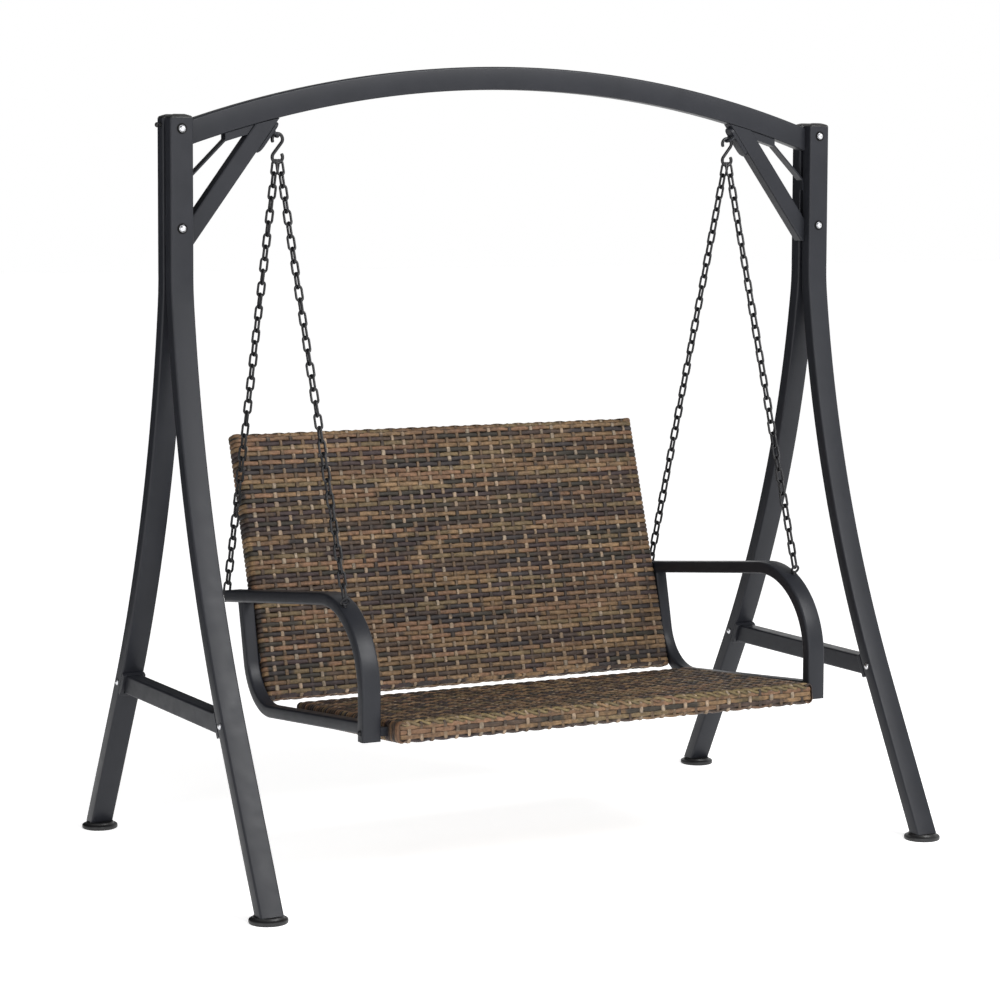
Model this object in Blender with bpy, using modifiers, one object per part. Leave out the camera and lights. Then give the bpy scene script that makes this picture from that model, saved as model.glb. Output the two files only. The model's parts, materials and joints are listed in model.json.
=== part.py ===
"""Two-seat garden porch swing: steel stand, hanging chains and a woven bench.

Metres, +Z up.  X runs along the bench, the bench faces -Y, and the origin lies on the
ground midway between the four feet.  The stand is fixed; the bench, its chains and its
S-hooks swing together about the X axis through the two hanger eyes.
"""
import math

import bmesh
import bpy
from mathutils import Matrix, Vector

# ------------------------------------------------------------------ driving sizes
GAP = 0.0003            # play between pieces that touch
WALL = 0.0015           # steel tube wall
SIDES = {"left": -1, "right": 1}
ENDS = {"front": -1, "rear": 1}

# A-frame legs: rectangular tube, bent in the YZ plane, two back to back on each side
LEG_X = 0.900
LEG_WIDTH = 0.058
LEG_DEPTH = 0.036
LEG_SLOT = 0.013
LEG_TOP_Z = 1.800
LEG_BEND_Z = 1.430
LEG_BENDS = ((0.55, math.radians(7.5), 3), (2.87, math.radians(28.3), 7))
LEG_SPLAY = LEG_BENDS[-1][1]
LEG_CORNER = 0.004
LEG_INNER_X = LEG_X - LEG_WIDTH / 2
LEG_TOP_Y = LEG_SLOT / 2 + LEG_DEPTH / 2
LEG_OUTER_Y = LEG_SLOT / 2 + LEG_DEPTH
FOOT_RADIUS = 0.045
FOOT_HEIGHT = 0.0165
CAP_RISE = 0.010

# Arch beam across the top, and the braces under its ends
ARCH_TOP_Z = 1.938
ARCH_RADIUS = 2.749
ARCH_HEIGHT = 0.057
ARCH_DEPTH = 0.037
ARCH_CENTRE_Z = ARCH_TOP_Z - ARCH_RADIUS
TONGUE = LEG_SLOT - 0.001
BRACE_HEIGHT = 0.043
BRACE_DEPTH = 0.036
BRACE_SLOPE = 1.349
BRACE_LEG_Z = 1.525
BRACE_LOW_Z = 1.500
STRAP_WIDTH = 0.027
STRAP_THICK = 0.004
STRAP_BLOCK = 0.019
STRAP_BEND_X = 0.778
STRAP_LEG_Z = 1.655
STRAP_TAB = 0.022

# Crossbars between front and rear leg
BAR_WIDTH = 0.040
BAR_HEIGHT = 0.047
BAR_Z = 0.4085
BAR_BOLT_Z = 0.411
SOCKET_Z = 0.4195
SOCKET_HEIGHT = 0.060
SOCKET_DEPTH = 0.013
SOCKET_WALL = 0.003

# Fasteners
BOLT_R = 0.004
BOLT_HOLE_R = 0.0045
POST_BOLT_Z = {"upper": 1.775, "lower": 1.541}

# Hangers: the hinge axis is the top bend of the two S-hooks
WIRE_R = 0.0035
HINGE_X = 0.638
HINGE_Y = 0.0
HINGE_Z = 1.7665
EYE_SPREAD = 0.013
KNOB_Y = 0.016
KNOB_Z = 1.784
PLATE_THICK = 0.008
PLATE_LENGTH = 0.092
PLATE_DROP = 0.018
PLATE_WIDTH = 0.038
HOOK_RADIUS = 0.0135
HOOK_SPACING = 0.043
CHAIN_R = 0.0045
CHAIN_SIDE_STEP = 0.004
RING_RADIUS = 0.009
RING_WIRE = 0.003

# Bench side tubes: arm with its front post, and the L-shaped side frame
ARM_INNER_X = 0.590
ARM_WIDTH = 0.048
ARM_X = ARM_INNER_X + ARM_WIDTH / 2
ARM_DEPTH = 0.030
ARM_CORNER = 0.005
ARM_PITCH = math.radians(6.8)
ARM_RADIUS = 0.200
ARM_BEND_Y = -0.260
ARM_BEND_Z = 0.4750
ARM_REAR_Y = 0.332
POST_BOTTOM_Z = 0.371
SIDE_LEAN = math.radians(13.0)
SIDE_WIDTH = 0.033
SIDE_X = ARM_INNER_X + SIDE_WIDTH / 2
SIDE_TOP = Vector((0.2725, 0.605))
RAIL_PITCH = math.radians(5.4)
RAIL_FRONT = Vector((-0.434, 0.398))
SIDE_RADIUS = 0.135
CHAIN_EYE_X = 0.626
FRONT_EYE_TURN = math.radians(25)

# Woven panels and the steel frames inside them
SEAT_SIZE = Vector((1.143, 0.570, 0.054))
SEAT_CENTRE = Vector((0.0, -0.240, 0.374))
SEAT_PITCH = math.radians(-4.6)
SEAT_BOLT_Z = SEAT_CENTRE.z + (ARM_BEND_Y - ARM_RADIUS - SEAT_CENTRE.y) * math.tan(SEAT_PITCH)
BACK_SIZE = Vector((1.177, 0.686, 0.049))
BACK_CENTRE = Vector((0.0, 0.3054, 0.679))
BACK_PITCH = math.radians(90 - 18.3)
PANEL_CORNER = 0.020
PANEL_EDGE = 0.012
WEAVE = 0.0025
FRAME_INSET = 0.014
SEAT_BAR = 0.025
BACK_BAR = 0.022
STUB = 0.020

# ------------------------------------------------------------------ finishes
FINISHES = {
    "steel": ((0.055, 0.058, 0.065, 1.0), 0.42, 0.55),
    "plastic": ((0.018, 0.018, 0.020, 1.0), 0.50, 0.0),
    "zinc": ((0.62, 0.63, 0.65, 1.0), 0.30, 1.0),
    "chain": ((0.030, 0.030, 0.032, 1.0), 0.38, 0.8),
    "wicker": ((0.150, 0.095, 0.060, 1.0), 0.60, 0.0),
}


def new_collection(name):
    collection = bpy.data.collections.new(name)
    bpy.context.scene.collection.children.link(collection)
    return collection


for old in list(bpy.data.objects):
    bpy.data.objects.remove(old, do_unlink=True)
PARTS = new_collection("porch_swing")
CUTTERS = new_collection("cutters")


# ------------------------------------------------------------------ modelling helpers
def finish_material(name, finish):
    color, roughness, metallic = FINISHES[finish]
    material = bpy.data.materials.new(name + "_finish")
    material.use_nodes = True
    shader = material.node_tree.nodes["Principled BSDF"]
    shader.inputs["Base Color"].default_value = color
    shader.inputs["Roughness"].default_value = roughness
    shader.inputs["Metallic"].default_value = metallic
    material.diffuse_color = color
    return material


def place(mesh, name, finish=None):
    """Put a mesh in the scene: with a finish it is a part, without one a cutter."""
    obj = bpy.data.objects.new(name, mesh)
    if finish:
        mesh.materials.append(finish_material(name, finish))
        PARTS.objects.link(obj)
    else:
        obj.hide_render = True
        obj.display_type = "WIRE"
        CUTTERS.objects.link(obj)
    return obj


def weld(obj):
    """Close the hairline seams that cuts can leave."""
    modifier = obj.modifiers.new("Seams", "WELD")
    modifier.merge_threshold = 0.00002
    return obj


def smooth(obj, angle=35.0):
    obj.data.shade_smooth()
    obj.data.set_sharp_from_angle(angle=math.radians(angle))
    return obj


def boolean(obj, tool, operation="DIFFERENCE"):
    modifier = obj.modifiers.new(operation.title() + "_" + tool.name, "BOOLEAN")
    modifier.operation = operation
    modifier.solver = "EXACT"
    modifier.object = tool
    return obj


def bevel(obj, width, segments=2, angle=40.0):
    modifier = obj.modifiers.new("Round", "BEVEL")
    modifier.width = width
    modifier.segments = segments
    modifier.limit_method = "ANGLE"
    modifier.angle_limit = math.radians(angle)
    return obj


def box(name, size, centre, finish=None, rotation=(0, 0, 0)):
    """Cube primitive with its size applied to the mesh."""
    mesh = bpy.data.meshes.new(name)
    cube = bmesh.new()
    bmesh.ops.create_cube(cube, size=1.0)
    bmesh.ops.scale(cube, vec=size, verts=cube.verts)
    cube.to_mesh(mesh)
    cube.free()
    obj = place(mesh, name, finish)
    obj.location = centre
    obj.rotation_euler = rotation
    return obj


def cylinder(name, radius, start, end, finish=None, segments=12):
    """Closed cylinder between two points."""
    start, end = Vector(start), Vector(end)
    mesh = bpy.data.meshes.new(name)
    shape = bmesh.new()
    bmesh.ops.create_cone(shape, cap_ends=True, segments=segments, radius1=radius,
                          radius2=radius, depth=(end - start).length)
    shape.to_mesh(mesh)
    shape.free()
    obj = place(mesh, name, finish)
    obj.location = (start + end) / 2
    obj.rotation_euler = (end - start).to_track_quat("Z", "Y").to_euler()
    return obj


def turned(name, profile, finish, location, axis=(0, 0, 1), steps=12):
    """Solid of revolution from (radius, height) points listed from the top down."""
    mesh = bpy.data.meshes.new(name)
    mesh.from_pydata([(r, 0, z) for r, z in profile],
                     [(i, i + 1) for i in range(len(profile) - 1)], [])
    obj = place(mesh, name, finish)
    screw = obj.modifiers.new("Turn", "SCREW")
    screw.steps = steps
    screw.render_steps = steps
    screw.use_merge_vertices = True
    screw.merge_threshold = 0.0001
    screw.use_smooth_shade = False
    obj.location = location
    obj.rotation_euler = Vector(axis).to_track_quat("Z", "Y").to_euler()
    return obj


def curve_mesh(curve, name):
    """Evaluate a curve, weld its caps and hand back a mesh in world coordinates."""
    holder = bpy.data.objects.new(name + "_curve", curve)
    bpy.context.scene.collection.objects.link(holder)
    bpy.context.view_layer.update()
    evaluated = holder.evaluated_get(bpy.context.evaluated_depsgraph_get())
    mesh = bpy.data.meshes.new_from_object(evaluated)
    mesh.name = name
    shape = bmesh.new()
    shape.from_mesh(mesh)
    bmesh.ops.transform(shape, matrix=holder.matrix_world, verts=shape.verts)
    bmesh.ops.remove_doubles(shape, verts=shape.verts, dist=0.00002)
    bmesh.ops.dissolve_limit(shape, angle_limit=math.radians(0.05), verts=shape.verts,
                             edges=shape.edges)
    bmesh.ops.recalc_face_normals(shape, faces=shape.faces)
    shape.to_mesh(mesh)
    shape.free()
    mesh.materials.clear()
    bpy.data.objects.remove(holder, do_unlink=True)
    return mesh


# Local axes of a flat outline: (first coordinate, second coordinate, thickness)
ACROSS_X = Matrix(((0, 0, 1, 0), (1, 0, 0, 0), (0, 1, 0, 0), (0, 0, 0, 1)))
ACROSS_Y = Matrix(((1, 0, 0, 0), (0, 0, -1, 0), (0, 1, 0, 0), (0, 0, 0, 1)))


def outline_solid(name, outline, thickness, matrix, finish=None):
    """Flat plate from one closed outline."""
    curve = bpy.data.curves.new(name, "CURVE")
    curve.dimensions = "2D"
    curve.fill_mode = "BOTH"
    curve.extrude = thickness / 2
    spline = curve.splines.new("POLY")
    spline.points.add(len(outline) - 1)
    for point, (u, v) in zip(spline.points, outline):
        point.co = (u, v, 0, 1)
    spline.use_cyclic_u = True
    obj = place(curve_mesh(curve, name), name, finish)
    obj.matrix_world = matrix
    return obj


def wire(name, points, radius, finish=None, resolution=1):
    """Round wire or rod along a list of points, with filled ends."""
    curve = bpy.data.curves.new(name, "CURVE")
    curve.dimensions = "3D"
    curve.bevel_depth = radius
    curve.bevel_resolution = resolution
    curve.use_fill_caps = True
    spline = curve.splines.new("POLY")
    spline.points.add(len(points) - 1)
    for point, position in zip(spline.points, points):
        point.co = (*position, 1)
    return smooth(place(curve_mesh(curve, name), name, finish))


def ribbon(name, path, across, centre, width, depth, finish=None):
    """Bar swept along a planar path: an open strip given its depth by Solidify."""
    mesh = bpy.data.meshes.new(name)
    strip = bmesh.new()
    start = centre - width / 2
    if across == "X":
        line = [strip.verts.new((start, u, v)) for u, v in path]
        step = Vector((width, 0, 0))
    else:
        line = [strip.verts.new((u, start, v)) for u, v in path]
        step = Vector((0, width, 0))
    edges = [strip.edges.new(pair) for pair in zip(line, line[1:])]
    raised = bmesh.ops.extrude_edge_only(strip, edges=edges)["geom"]
    bmesh.ops.translate(strip, vec=step,
                        verts=[g for g in raised if isinstance(g, bmesh.types.BMVert)])
    bmesh.ops.recalc_face_normals(strip, faces=strip.faces)
    strip.to_mesh(mesh)
    strip.free()
    obj = place(mesh, name, finish)
    shell = obj.modifiers.new("Depth", "SOLIDIFY")
    shell.thickness = depth
    shell.offset = 0.0
    shell.use_even_offset = True
    return obj


def extended(path, amount):
    """The same path carried straight on past both of its ends."""
    first, second = Vector(path[0]), Vector(path[1])
    last, previous = Vector(path[-1]), Vector(path[-2])
    head = first + (first - second).normalized() * amount
    tail = last + (last - previous).normalized() * amount
    return [tuple(head)] + list(path[1:-1]) + [tuple(tail)]


def tube(name, path, across, centre, width, depth, corner, finish):
    """Rectangular steel tube with rounded corners and open ends."""
    obj = bevel(ribbon(name, path, across, centre, width, depth, finish), corner)
    bore = ribbon(name + "_bore", extended(path, 0.02), across, centre,
                  width - 2 * WALL, depth - 2 * WALL)
    return boolean(obj, bore)


def arc(centre, radius, start, end, count):
    """Points on an arc, angles in radians."""
    angles = [start + (end - start) * i / count for i in range(count + 1)]
    return [(centre[0] + radius * math.cos(a), centre[1] + radius * math.sin(a)) for a in angles]


def rounded_rectangle(width, height, radius, count=3):
    points = []
    for index, (sx, sy) in enumerate(((1, 1), (-1, 1), (-1, -1), (1, -1))):
        centre = (sx * (width / 2 - radius), sy * (height / 2 - radius))
        start = index * math.pi / 2
        points += arc(centre, radius, start, start + math.pi / 2, count)
    return points


def mirrored(points, side):
    return [(side * u, v) for u, v in points]


# ------------------------------------------------------------------ shared geometry
def leg_at(z):
    """Distance from the XZ plane, and slope, of a leg's centreline at height z."""
    y, top, slope = LEG_TOP_Y, LEG_BEND_Z, 0.0
    if z >= top:
        return y, slope
    for radius, steeper, _ in LEG_BENDS:
        bottom = top - radius * (math.sin(steeper) - math.sin(slope))
        if z >= bottom:
            here = math.asin(math.sin(slope) + (top - z) / radius)
            return y + radius * (math.cos(slope) - math.cos(here)), here
        y += radius * (math.cos(slope) - math.cos(steeper))
        top, slope = bottom, steeper
    return y + (top - z) * math.tan(slope), slope


def leg_heights():
    """Heights of the stations that a leg's path runs through."""
    heights, top, slope = [LEG_TOP_Z, LEG_BEND_Z], LEG_BEND_Z, 0.0
    for radius, steeper, count in LEG_BENDS:
        for i in range(1, count + 1):
            here = slope + (steeper - slope) * i / count
            heights.append(top - radius * (math.sin(here) - math.sin(slope)))
        top, slope = heights[-1], steeper
    return heights + [-0.04]


def arch_under_z(x, drop=0.0):
    """Height of the arch's underside at x, or of a curve a little below it."""
    return ARCH_CENTRE_Z + math.sqrt((ARCH_RADIUS - ARCH_HEIGHT - drop) ** 2 - x ** 2)


def arch_path(radius):
    """Stations along the arch; every radius uses the same angles, so facets stay parallel."""
    half = math.asin((LEG_INNER_X + 0.03) / (ARCH_RADIUS - ARCH_HEIGHT / 2))
    return arc((0.0, ARCH_CENTRE_Z), radius, math.pi / 2 + half, math.pi / 2 - half, 18)


def brace_edge_x(z, across):
    """X of a line parallel to the brace, offset from its centreline (+ is up and out)."""
    shift = across * math.hypot(1.0, BRACE_SLOPE) / BRACE_SLOPE
    return LEG_INNER_X + shift - (z - BRACE_LEG_Z) / BRACE_SLOPE


def arm_path():
    start = math.pi / 2 - ARM_PITCH
    bend = arc((ARM_BEND_Y, ARM_BEND_Z), ARM_RADIUS, start, math.pi, 9)
    run = (ARM_REAR_Y - bend[0][0]) / math.cos(ARM_PITCH)
    rear = (ARM_REAR_Y, bend[0][1] - run * math.sin(ARM_PITCH))
    return [rear] + bend + [(ARM_BEND_Y - ARM_RADIUS, POST_BOTTOM_Z)]


def side_path():
    """L-shaped side frame: leaning upright, bend, and rail rising to the front post."""
    up = Vector((math.sin(SIDE_LEAN), math.cos(SIDE_LEAN)))
    forward = Vector((-math.cos(RAIL_PITCH), math.sin(RAIL_PITCH)))
    cross = up.x * forward.y - up.y * forward.x
    offset = RAIL_FRONT - SIDE_TOP
    corner = SIDE_TOP + up * ((offset.x * forward.y - offset.y * forward.x) / cross)
    turn = math.pi - up.angle(forward)
    reach = SIDE_RADIUS * math.tan(turn / 2)
    centre = corner + (up + forward).normalized() * (SIDE_RADIUS / math.cos(turn / 2))
    first = corner + up * reach - centre
    begin = math.atan2(first.y, first.x)
    bend = arc(centre, SIDE_RADIUS, begin, begin - turn, 8)
    return [tuple(SIDE_TOP)] + bend + [tuple(RAIL_FRONT)]


# ------------------------------------------------------------------ stand
def make_leg(side_name, end_name):
    side, end = SIDES[side_name], ENDS[end_name]
    path = [(end * leg_at(z)[0], z) for z in leg_heights()]
    name = f"leg_{end_name}_{side_name}"
    leg = tube(name, path, "X", side * LEG_X, LEG_WIDTH, LEG_DEPTH, LEG_CORNER, "steel")
    boolean(leg, box(name + "_floor", (0.2, 0.3, 0.2),
                     (side * LEG_X, end * leg_at(0)[0], FOOT_HEIGHT + GAP - 0.1)))
    for z in POST_BOLT_Z.values():
        boolean(leg, cylinder(f"{name}_hole_{z:.3f}", BOLT_HOLE_R, (side * LEG_X, -0.1, z),
                              (side * LEG_X, 0.1, z)))
    y = end * leg_at(BAR_BOLT_Z)[0]
    boolean(leg, cylinder(name + "_bar_hole", BOLT_HOLE_R, (side * (LEG_X - 0.1), y, BAR_BOLT_Z),
                          (side * (LEG_X + 0.1), y, BAR_BOLT_Z)))
    boolean(leg, socket_tongue(name + "_slot", side, end, 0.0012, 0.02))
    return smooth(leg)


def socket_frame(side, end):
    """Centre of a leg beside its socket, the leg's slope, and the way to the crossbar."""
    y, slope = leg_at(SOCKET_Z)
    inward = Vector((0, -end * math.cos(slope), -math.sin(slope)))
    return Vector((side * LEG_X, end * y, SOCKET_Z)), end * slope, inward


def socket_tongue(name, side, end, clearance, overrun, finish=None):
    """Flat tongue that reaches through the leg's wall from the crossbar socket."""
    origin, tilt, inward = socket_frame(side, end)
    length = LEG_DEPTH / 2 + 0.010 + overrun
    size = (0.036 + 2 * clearance, length, 0.036 + 2 * clearance)
    return box(name, size, origin + inward * (length / 2 - 0.010), finish, (tilt, 0, 0))


def make_socket(side_name, end_name):
    """Open cup on the leg that holds the crossbar's end."""
    side, end = SIDES[side_name], ENDS[end_name]
    origin, tilt, inward = socket_frame(side, end)
    name = f"crossbar_socket_{end_name}_{side_name}"
    face = LEG_DEPTH / 2 + GAP
    cup = box(name, (LEG_WIDTH, SOCKET_DEPTH, SOCKET_HEIGHT),
              origin + inward * (face + SOCKET_DEPTH / 2), "steel", (tilt, 0, 0))
    bevel(cup, 0.0015)
    pocket = box(name + "_pocket", (BAR_WIDTH + 2 * GAP, 0.4, BAR_HEIGHT + 2 * GAP),
                 (side * LEG_X, origin.y - end * 0.2, BAR_Z))
    boolean(pocket, box(name + "_web", (0.2, 0.4, 0.4),
                        origin + inward * (face + SOCKET_WALL - 0.2), None, (tilt, 0, 0)))
    boolean(cup, pocket)
    boolean(cup, socket_tongue(name + "_tongue", side, end, 0.0, 0.002), "UNION")
    y = end * leg_at(BAR_BOLT_Z)[0]
    boolean(cup, cylinder(name + "_hole", BOLT_HOLE_R, (side * (LEG_X - 0.1), y, BAR_BOLT_Z),
                          (side * (LEG_X + 0.1), y, BAR_BOLT_Z)))
    return smooth(cup)


def make_crossbar(side_name):
    """Level tube between the legs, its ends cut to the legs' slope."""
    side = SIDES[side_name]
    name = f"crossbar_{side_name}"
    reach = leg_at(BAR_Z)[0]
    centre = (side * LEG_X, 0, BAR_Z)
    bar = bevel(box(name, (BAR_WIDTH, 2 * reach, BAR_HEIGHT), centre, "steel"), LEG_CORNER)
    boolean(bar, box(name + "_bore", (BAR_WIDTH - 2 * WALL, 2.2 * reach, BAR_HEIGHT - 2 * WALL),
                     centre))
    for end in ENDS.values():
        origin, tilt, inward = socket_frame(side, end)
        near = LEG_DEPTH / 2 + SOCKET_WALL + 2 * GAP
        boolean(bar, box(f"{name}_trim_{end}", (0.2, 0.4, 0.6), origin + inward * (near - 0.2),
                         None, (tilt, 0, 0)))
    return smooth(bar)


def make_foot(side_name, end_name):
    """Round plastic foot with a plug that fills the leg's open end."""
    side, end = SIDES[side_name], ENDS[end_name]
    name = f"foot_{end_name}_{side_name}"
    y = end * leg_at(FOOT_HEIGHT)[0]
    h, r = FOOT_HEIGHT, FOOT_RADIUS
    profile = [(0, h), (r * 0.80, h), (r * 0.84, h * 0.72), (r * 0.97, h * 0.62), (r, h * 0.48),
               (r, h * 0.12), (r * 0.96, 0), (0, 0)]
    foot = turned(name, profile, "plastic", (side * LEG_X, y - end * 0.004, 0), steps=20)
    plug = box(name + "_plug", (LEG_WIDTH - 2 * WALL - 0.002, LEG_DEPTH - 2 * WALL - 0.002, 0.070),
               (side * LEG_X, end * leg_at(0.030)[0], 0.030), None, (end * LEG_SPLAY, 0, 0))
    boolean(plug, box(name + "_plug_floor", (0.2, 0.2, 0.2), (side * LEG_X, y, 0.004 - 0.1)))
    return smooth(boolean(foot, plug, "UNION"))


def make_cap(side_name, end_name):
    """Domed plastic cap on a leg's top end."""
    side, end = SIDES[side_name], ENDS[end_name]
    name = f"leg_cap_{end_name}_{side_name}"
    half = LEG_WIDTH / 2 + 0.0003
    base = LEG_TOP_Z + GAP
    radius = (half ** 2 + (CAP_RISE - 0.005) ** 2) / (2 * (CAP_RISE - 0.005))
    spread = math.asin(half / radius)
    crown = arc((side * LEG_X, base + CAP_RISE - radius), radius, math.pi / 2 - spread,
                math.pi / 2 + spread, 8)
    outline = crown + [(side * LEG_X - half, base), (side * LEG_X + half, base)]
    cap = outline_solid(name, outline, LEG_DEPTH + 0.0006, ACROSS_Y, "plastic")
    cap.location.y = end * (LEG_TOP_Y + 0.0003)
    bevel(cap, 0.0012)
    plug = box(name + "_plug", (LEG_WIDTH - 2 * WALL - 0.001, LEG_DEPTH - 2 * WALL - 0.001, 0.020),
               (side * LEG_X, end * LEG_TOP_Y, base - 0.008))
    return smooth(boolean(cap, plug, "UNION"))


def make_arch():
    """Arched top beam with a flat tongue in each end that fits between the legs."""
    mid = ARCH_RADIUS - ARCH_HEIGHT / 2
    beam = tube("arch_beam", arch_path(mid), "Y", 0.0, ARCH_DEPTH,
                ARCH_HEIGHT, LEG_CORNER, "steel")
    inner_x = LEG_INNER_X - 0.0005
    for side_name, side in SIDES.items():
        boolean(beam, box(f"arch_trim_{side_name}", (0.2, 0.2, 0.4),
                          (side * (inner_x + 0.1), 0, ARCH_TOP_Z - 0.15)))
        root_x = 0.800
        bite = WALL * 0.6
        low, high = arch_under_z(root_x), arch_under_z(root_x) + ARCH_HEIGHT
        tongue = [(root_x, low + bite + 0.002), (inner_x, arch_under_z(inner_x) + bite + 0.0006),
                  (LEG_X + 0.024, arch_under_z(inner_x) + bite + 0.0006),
                  (LEG_X + 0.024, LEG_TOP_Z - 0.005), (inner_x, LEG_TOP_Z - 0.005),
                  (root_x, high - bite + 0.001)]
        plate = outline_solid(f"arch_tongue_{side_name}", mirrored(tongue, side), TONGUE, ACROSS_Y)
        boolean(beam, plate, "UNION")
        z = POST_BOLT_Z["upper"]
        boolean(beam, cylinder(f"arch_hole_{side_name}", BOLT_HOLE_R, (side * LEG_X, -0.1, z),
                               (side * LEG_X, 0.1, z)))
    return smooth(beam)


def make_brace(side_name):
    """Diagonal tube from the legs up to the underside of the arch."""
    side = SIDES[side_name]
    name = f"brace_{side_name}"
    half = BRACE_HEIGHT / 2
    top_z = arch_under_z(0.67)
    path = [(side * brace_edge_x(z, 0.0), z) for z in (BRACE_LEG_Z - 0.06, top_z + 0.05)]
    brace = tube(name, path, "Y", 0.0, BRACE_DEPTH, BRACE_HEIGHT, LEG_CORNER, "steel")
    inner_x = LEG_INNER_X - 0.0005
    boolean(brace, box(name + "_leg_trim", (0.2, 0.2, 0.4), (side * (inner_x + 0.1), 0, BRACE_LEG_Z)))
    above = ARCH_RADIUS - ARCH_HEIGHT - GAP + 0.1
    boolean(brace, ribbon(name + "_arch_trim", arch_path(above), "Y", 0.0, 0.2, 0.2))
    boolean(brace, box(name + "_low_trim", (0.3, 0.2, 0.1),
                       (side * inner_x, 0, BRACE_LOW_Z - 0.05)))
    bite = half - WALL * 0.5
    low, root, high = BRACE_LOW_Z + 0.001, BRACE_LEG_Z + 0.060, BRACE_LEG_Z + 0.046
    tongue = [(brace_edge_x(root, -bite), root), (brace_edge_x(low, -bite), low),
              (LEG_X + 0.024, low), (LEG_X + 0.024, high), (brace_edge_x(high, bite), high),
              (brace_edge_x(root, bite), root)]
    plate = outline_solid(name + "_tongue", mirrored(tongue, side), TONGUE, ACROSS_Y)
    boolean(brace, plate, "UNION")
    z = POST_BOLT_Z["lower"]
    boolean(brace, cylinder(name + "_hole", BOLT_HOLE_R, (side * LEG_X, -0.1, z),
                            (side * LEG_X, 0.1, z)))
    return smooth(weld(brace))


def make_strap(side_name):
    """Flat stay above the brace: a block under the arch, a diagonal and a leg tab."""
    side = SIDES[side_name]
    edge = BRACE_HEIGHT / 2 + GAP
    start_x = brace_edge_x(arch_under_z(0.7045, GAP + 0.0006), edge + GAP)
    low_z = arch_under_z(STRAP_BEND_X, STRAP_BLOCK)
    face = LEG_INNER_X - GAP
    slope = (low_z - STRAP_LEG_Z) / (face - STRAP_BEND_X)
    rise = STRAP_THICK * math.hypot(1.0, slope)
    xs = [start_x + (STRAP_BEND_X - start_x) * i / 3 for i in range(4)]
    top = [(x, arch_under_z(x, GAP + 0.0006)) for x in xs]
    tab = face - STRAP_THICK
    outline = top + [
        (STRAP_BEND_X, low_z + rise), (face, STRAP_LEG_Z + rise), (face, STRAP_LEG_Z - STRAP_TAB),
        (tab, STRAP_LEG_Z - STRAP_TAB), (tab, STRAP_LEG_Z + slope * STRAP_THICK),
        (STRAP_BEND_X, low_z), (brace_edge_x(low_z + 0.017, edge), low_z + 0.017)]
    return outline_solid(f"corner_strap_{side_name}", mirrored(outline, side), STRAP_WIDTH,
                         ACROSS_Y, "steel")


def make_eye_plate(side_name):
    """Pad plate on the brace's lower face with a welded wire eye for the S-hook."""
    side = SIDES[side_name]
    name = f"eye_plate_{side_name}"
    length = math.hypot(1.0, BRACE_SLOPE)
    along = Vector((-side, 0, BRACE_SLOPE)) / length
    out = Vector((-side * BRACE_SLOPE, 0, -1.0)) / length
    apex = Vector((side * HINGE_X, 0, HINGE_Z - 2 * WIRE_R - GAP))
    face_z_gap = (BRACE_LEG_Z - apex.z) / BRACE_SLOPE + LEG_INNER_X - HINGE_X
    reach = face_z_gap * BRACE_SLOPE / length - BRACE_HEIGHT / 2 - GAP
    foot = apex - out * reach
    basis = Matrix((along, Vector((0, 1, 0)), along.cross(Vector((0, 1, 0))))).transposed().to_4x4()
    middle = foot + out * (PLATE_THICK / 2) - along * PLATE_DROP
    seat = Matrix.Translation(middle) @ basis
    half = PLATE_LENGTH / 2 - PLATE_WIDTH / 2
    stadium = (arc((half, 0), PLATE_WIDTH / 2, -math.pi / 2, math.pi / 2, 8)
               + arc((-half, 0), PLATE_WIDTH / 2, math.pi / 2, 1.5 * math.pi, 8))
    plate = bevel(outline_solid(name, stadium, PLATE_THICK, seat, "steel"), 0.0012)
    across = Vector((0, 1, 0))
    turn = [(EYE_SPREAD * math.cos(a), EYE_SPREAD * math.sin(a))
            for a in [math.pi * i / 10 for i in range(11)]]
    points = [apex - out * EYE_SPREAD + across * u + out * v for u, v in turn]
    base = foot + out * (PLATE_THICK * 0.5)
    points = [base + across * EYE_SPREAD] + points + [base - across * EYE_SPREAD]
    boolean(plate, wire(name + "_eye", points, WIRE_R), "UNION")
    return smooth(plate)


def bolt_profile(shank, head_r=0.010, washer_r=0.0125):
    """Domed head on a washer flange, then the shank, from the head's crown down."""
    return [(0, 0.0066), (head_r * 0.45, 0.0060), (head_r * 0.80, 0.0044), (head_r, 0.0018),
            (head_r, 0.0013), (washer_r, 0.0012), (washer_r, 0), (BOLT_R, 0),
            (BOLT_R, -shank), (0, -shank)]


def make_post_fasteners(side_name, level):
    """Through bolt across both legs, and the domed nut behind them."""
    x, z = SIDES[side_name] * LEG_X, POST_BOLT_Z[level]
    shank = 2 * LEG_OUTER_Y + 0.010
    bolt = turned(f"post_bolt_{level}_{side_name}", bolt_profile(shank), "zinc",
                  (x, -LEG_OUTER_Y - GAP, z), axis=(0, -1, 0))
    bore = BOLT_R + GAP
    dome = [(0, 0.0175), (0.0040, 0.0165), (0.0065, 0.0140), (0.0075, 0.0110), (0.0085, 0.0090),
            (0.0085, 0.0014), (0.0120, 0.0013), (0.0120, 0), (bore, 0), (bore, 0.0112), (0, 0.0112)]
    nut = turned(f"post_nut_{level}_{side_name}", dome, "plastic", (x, LEG_OUTER_Y + GAP, z),
                 axis=(0, 1, 0))
    return smooth(bolt), smooth(nut)


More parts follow.
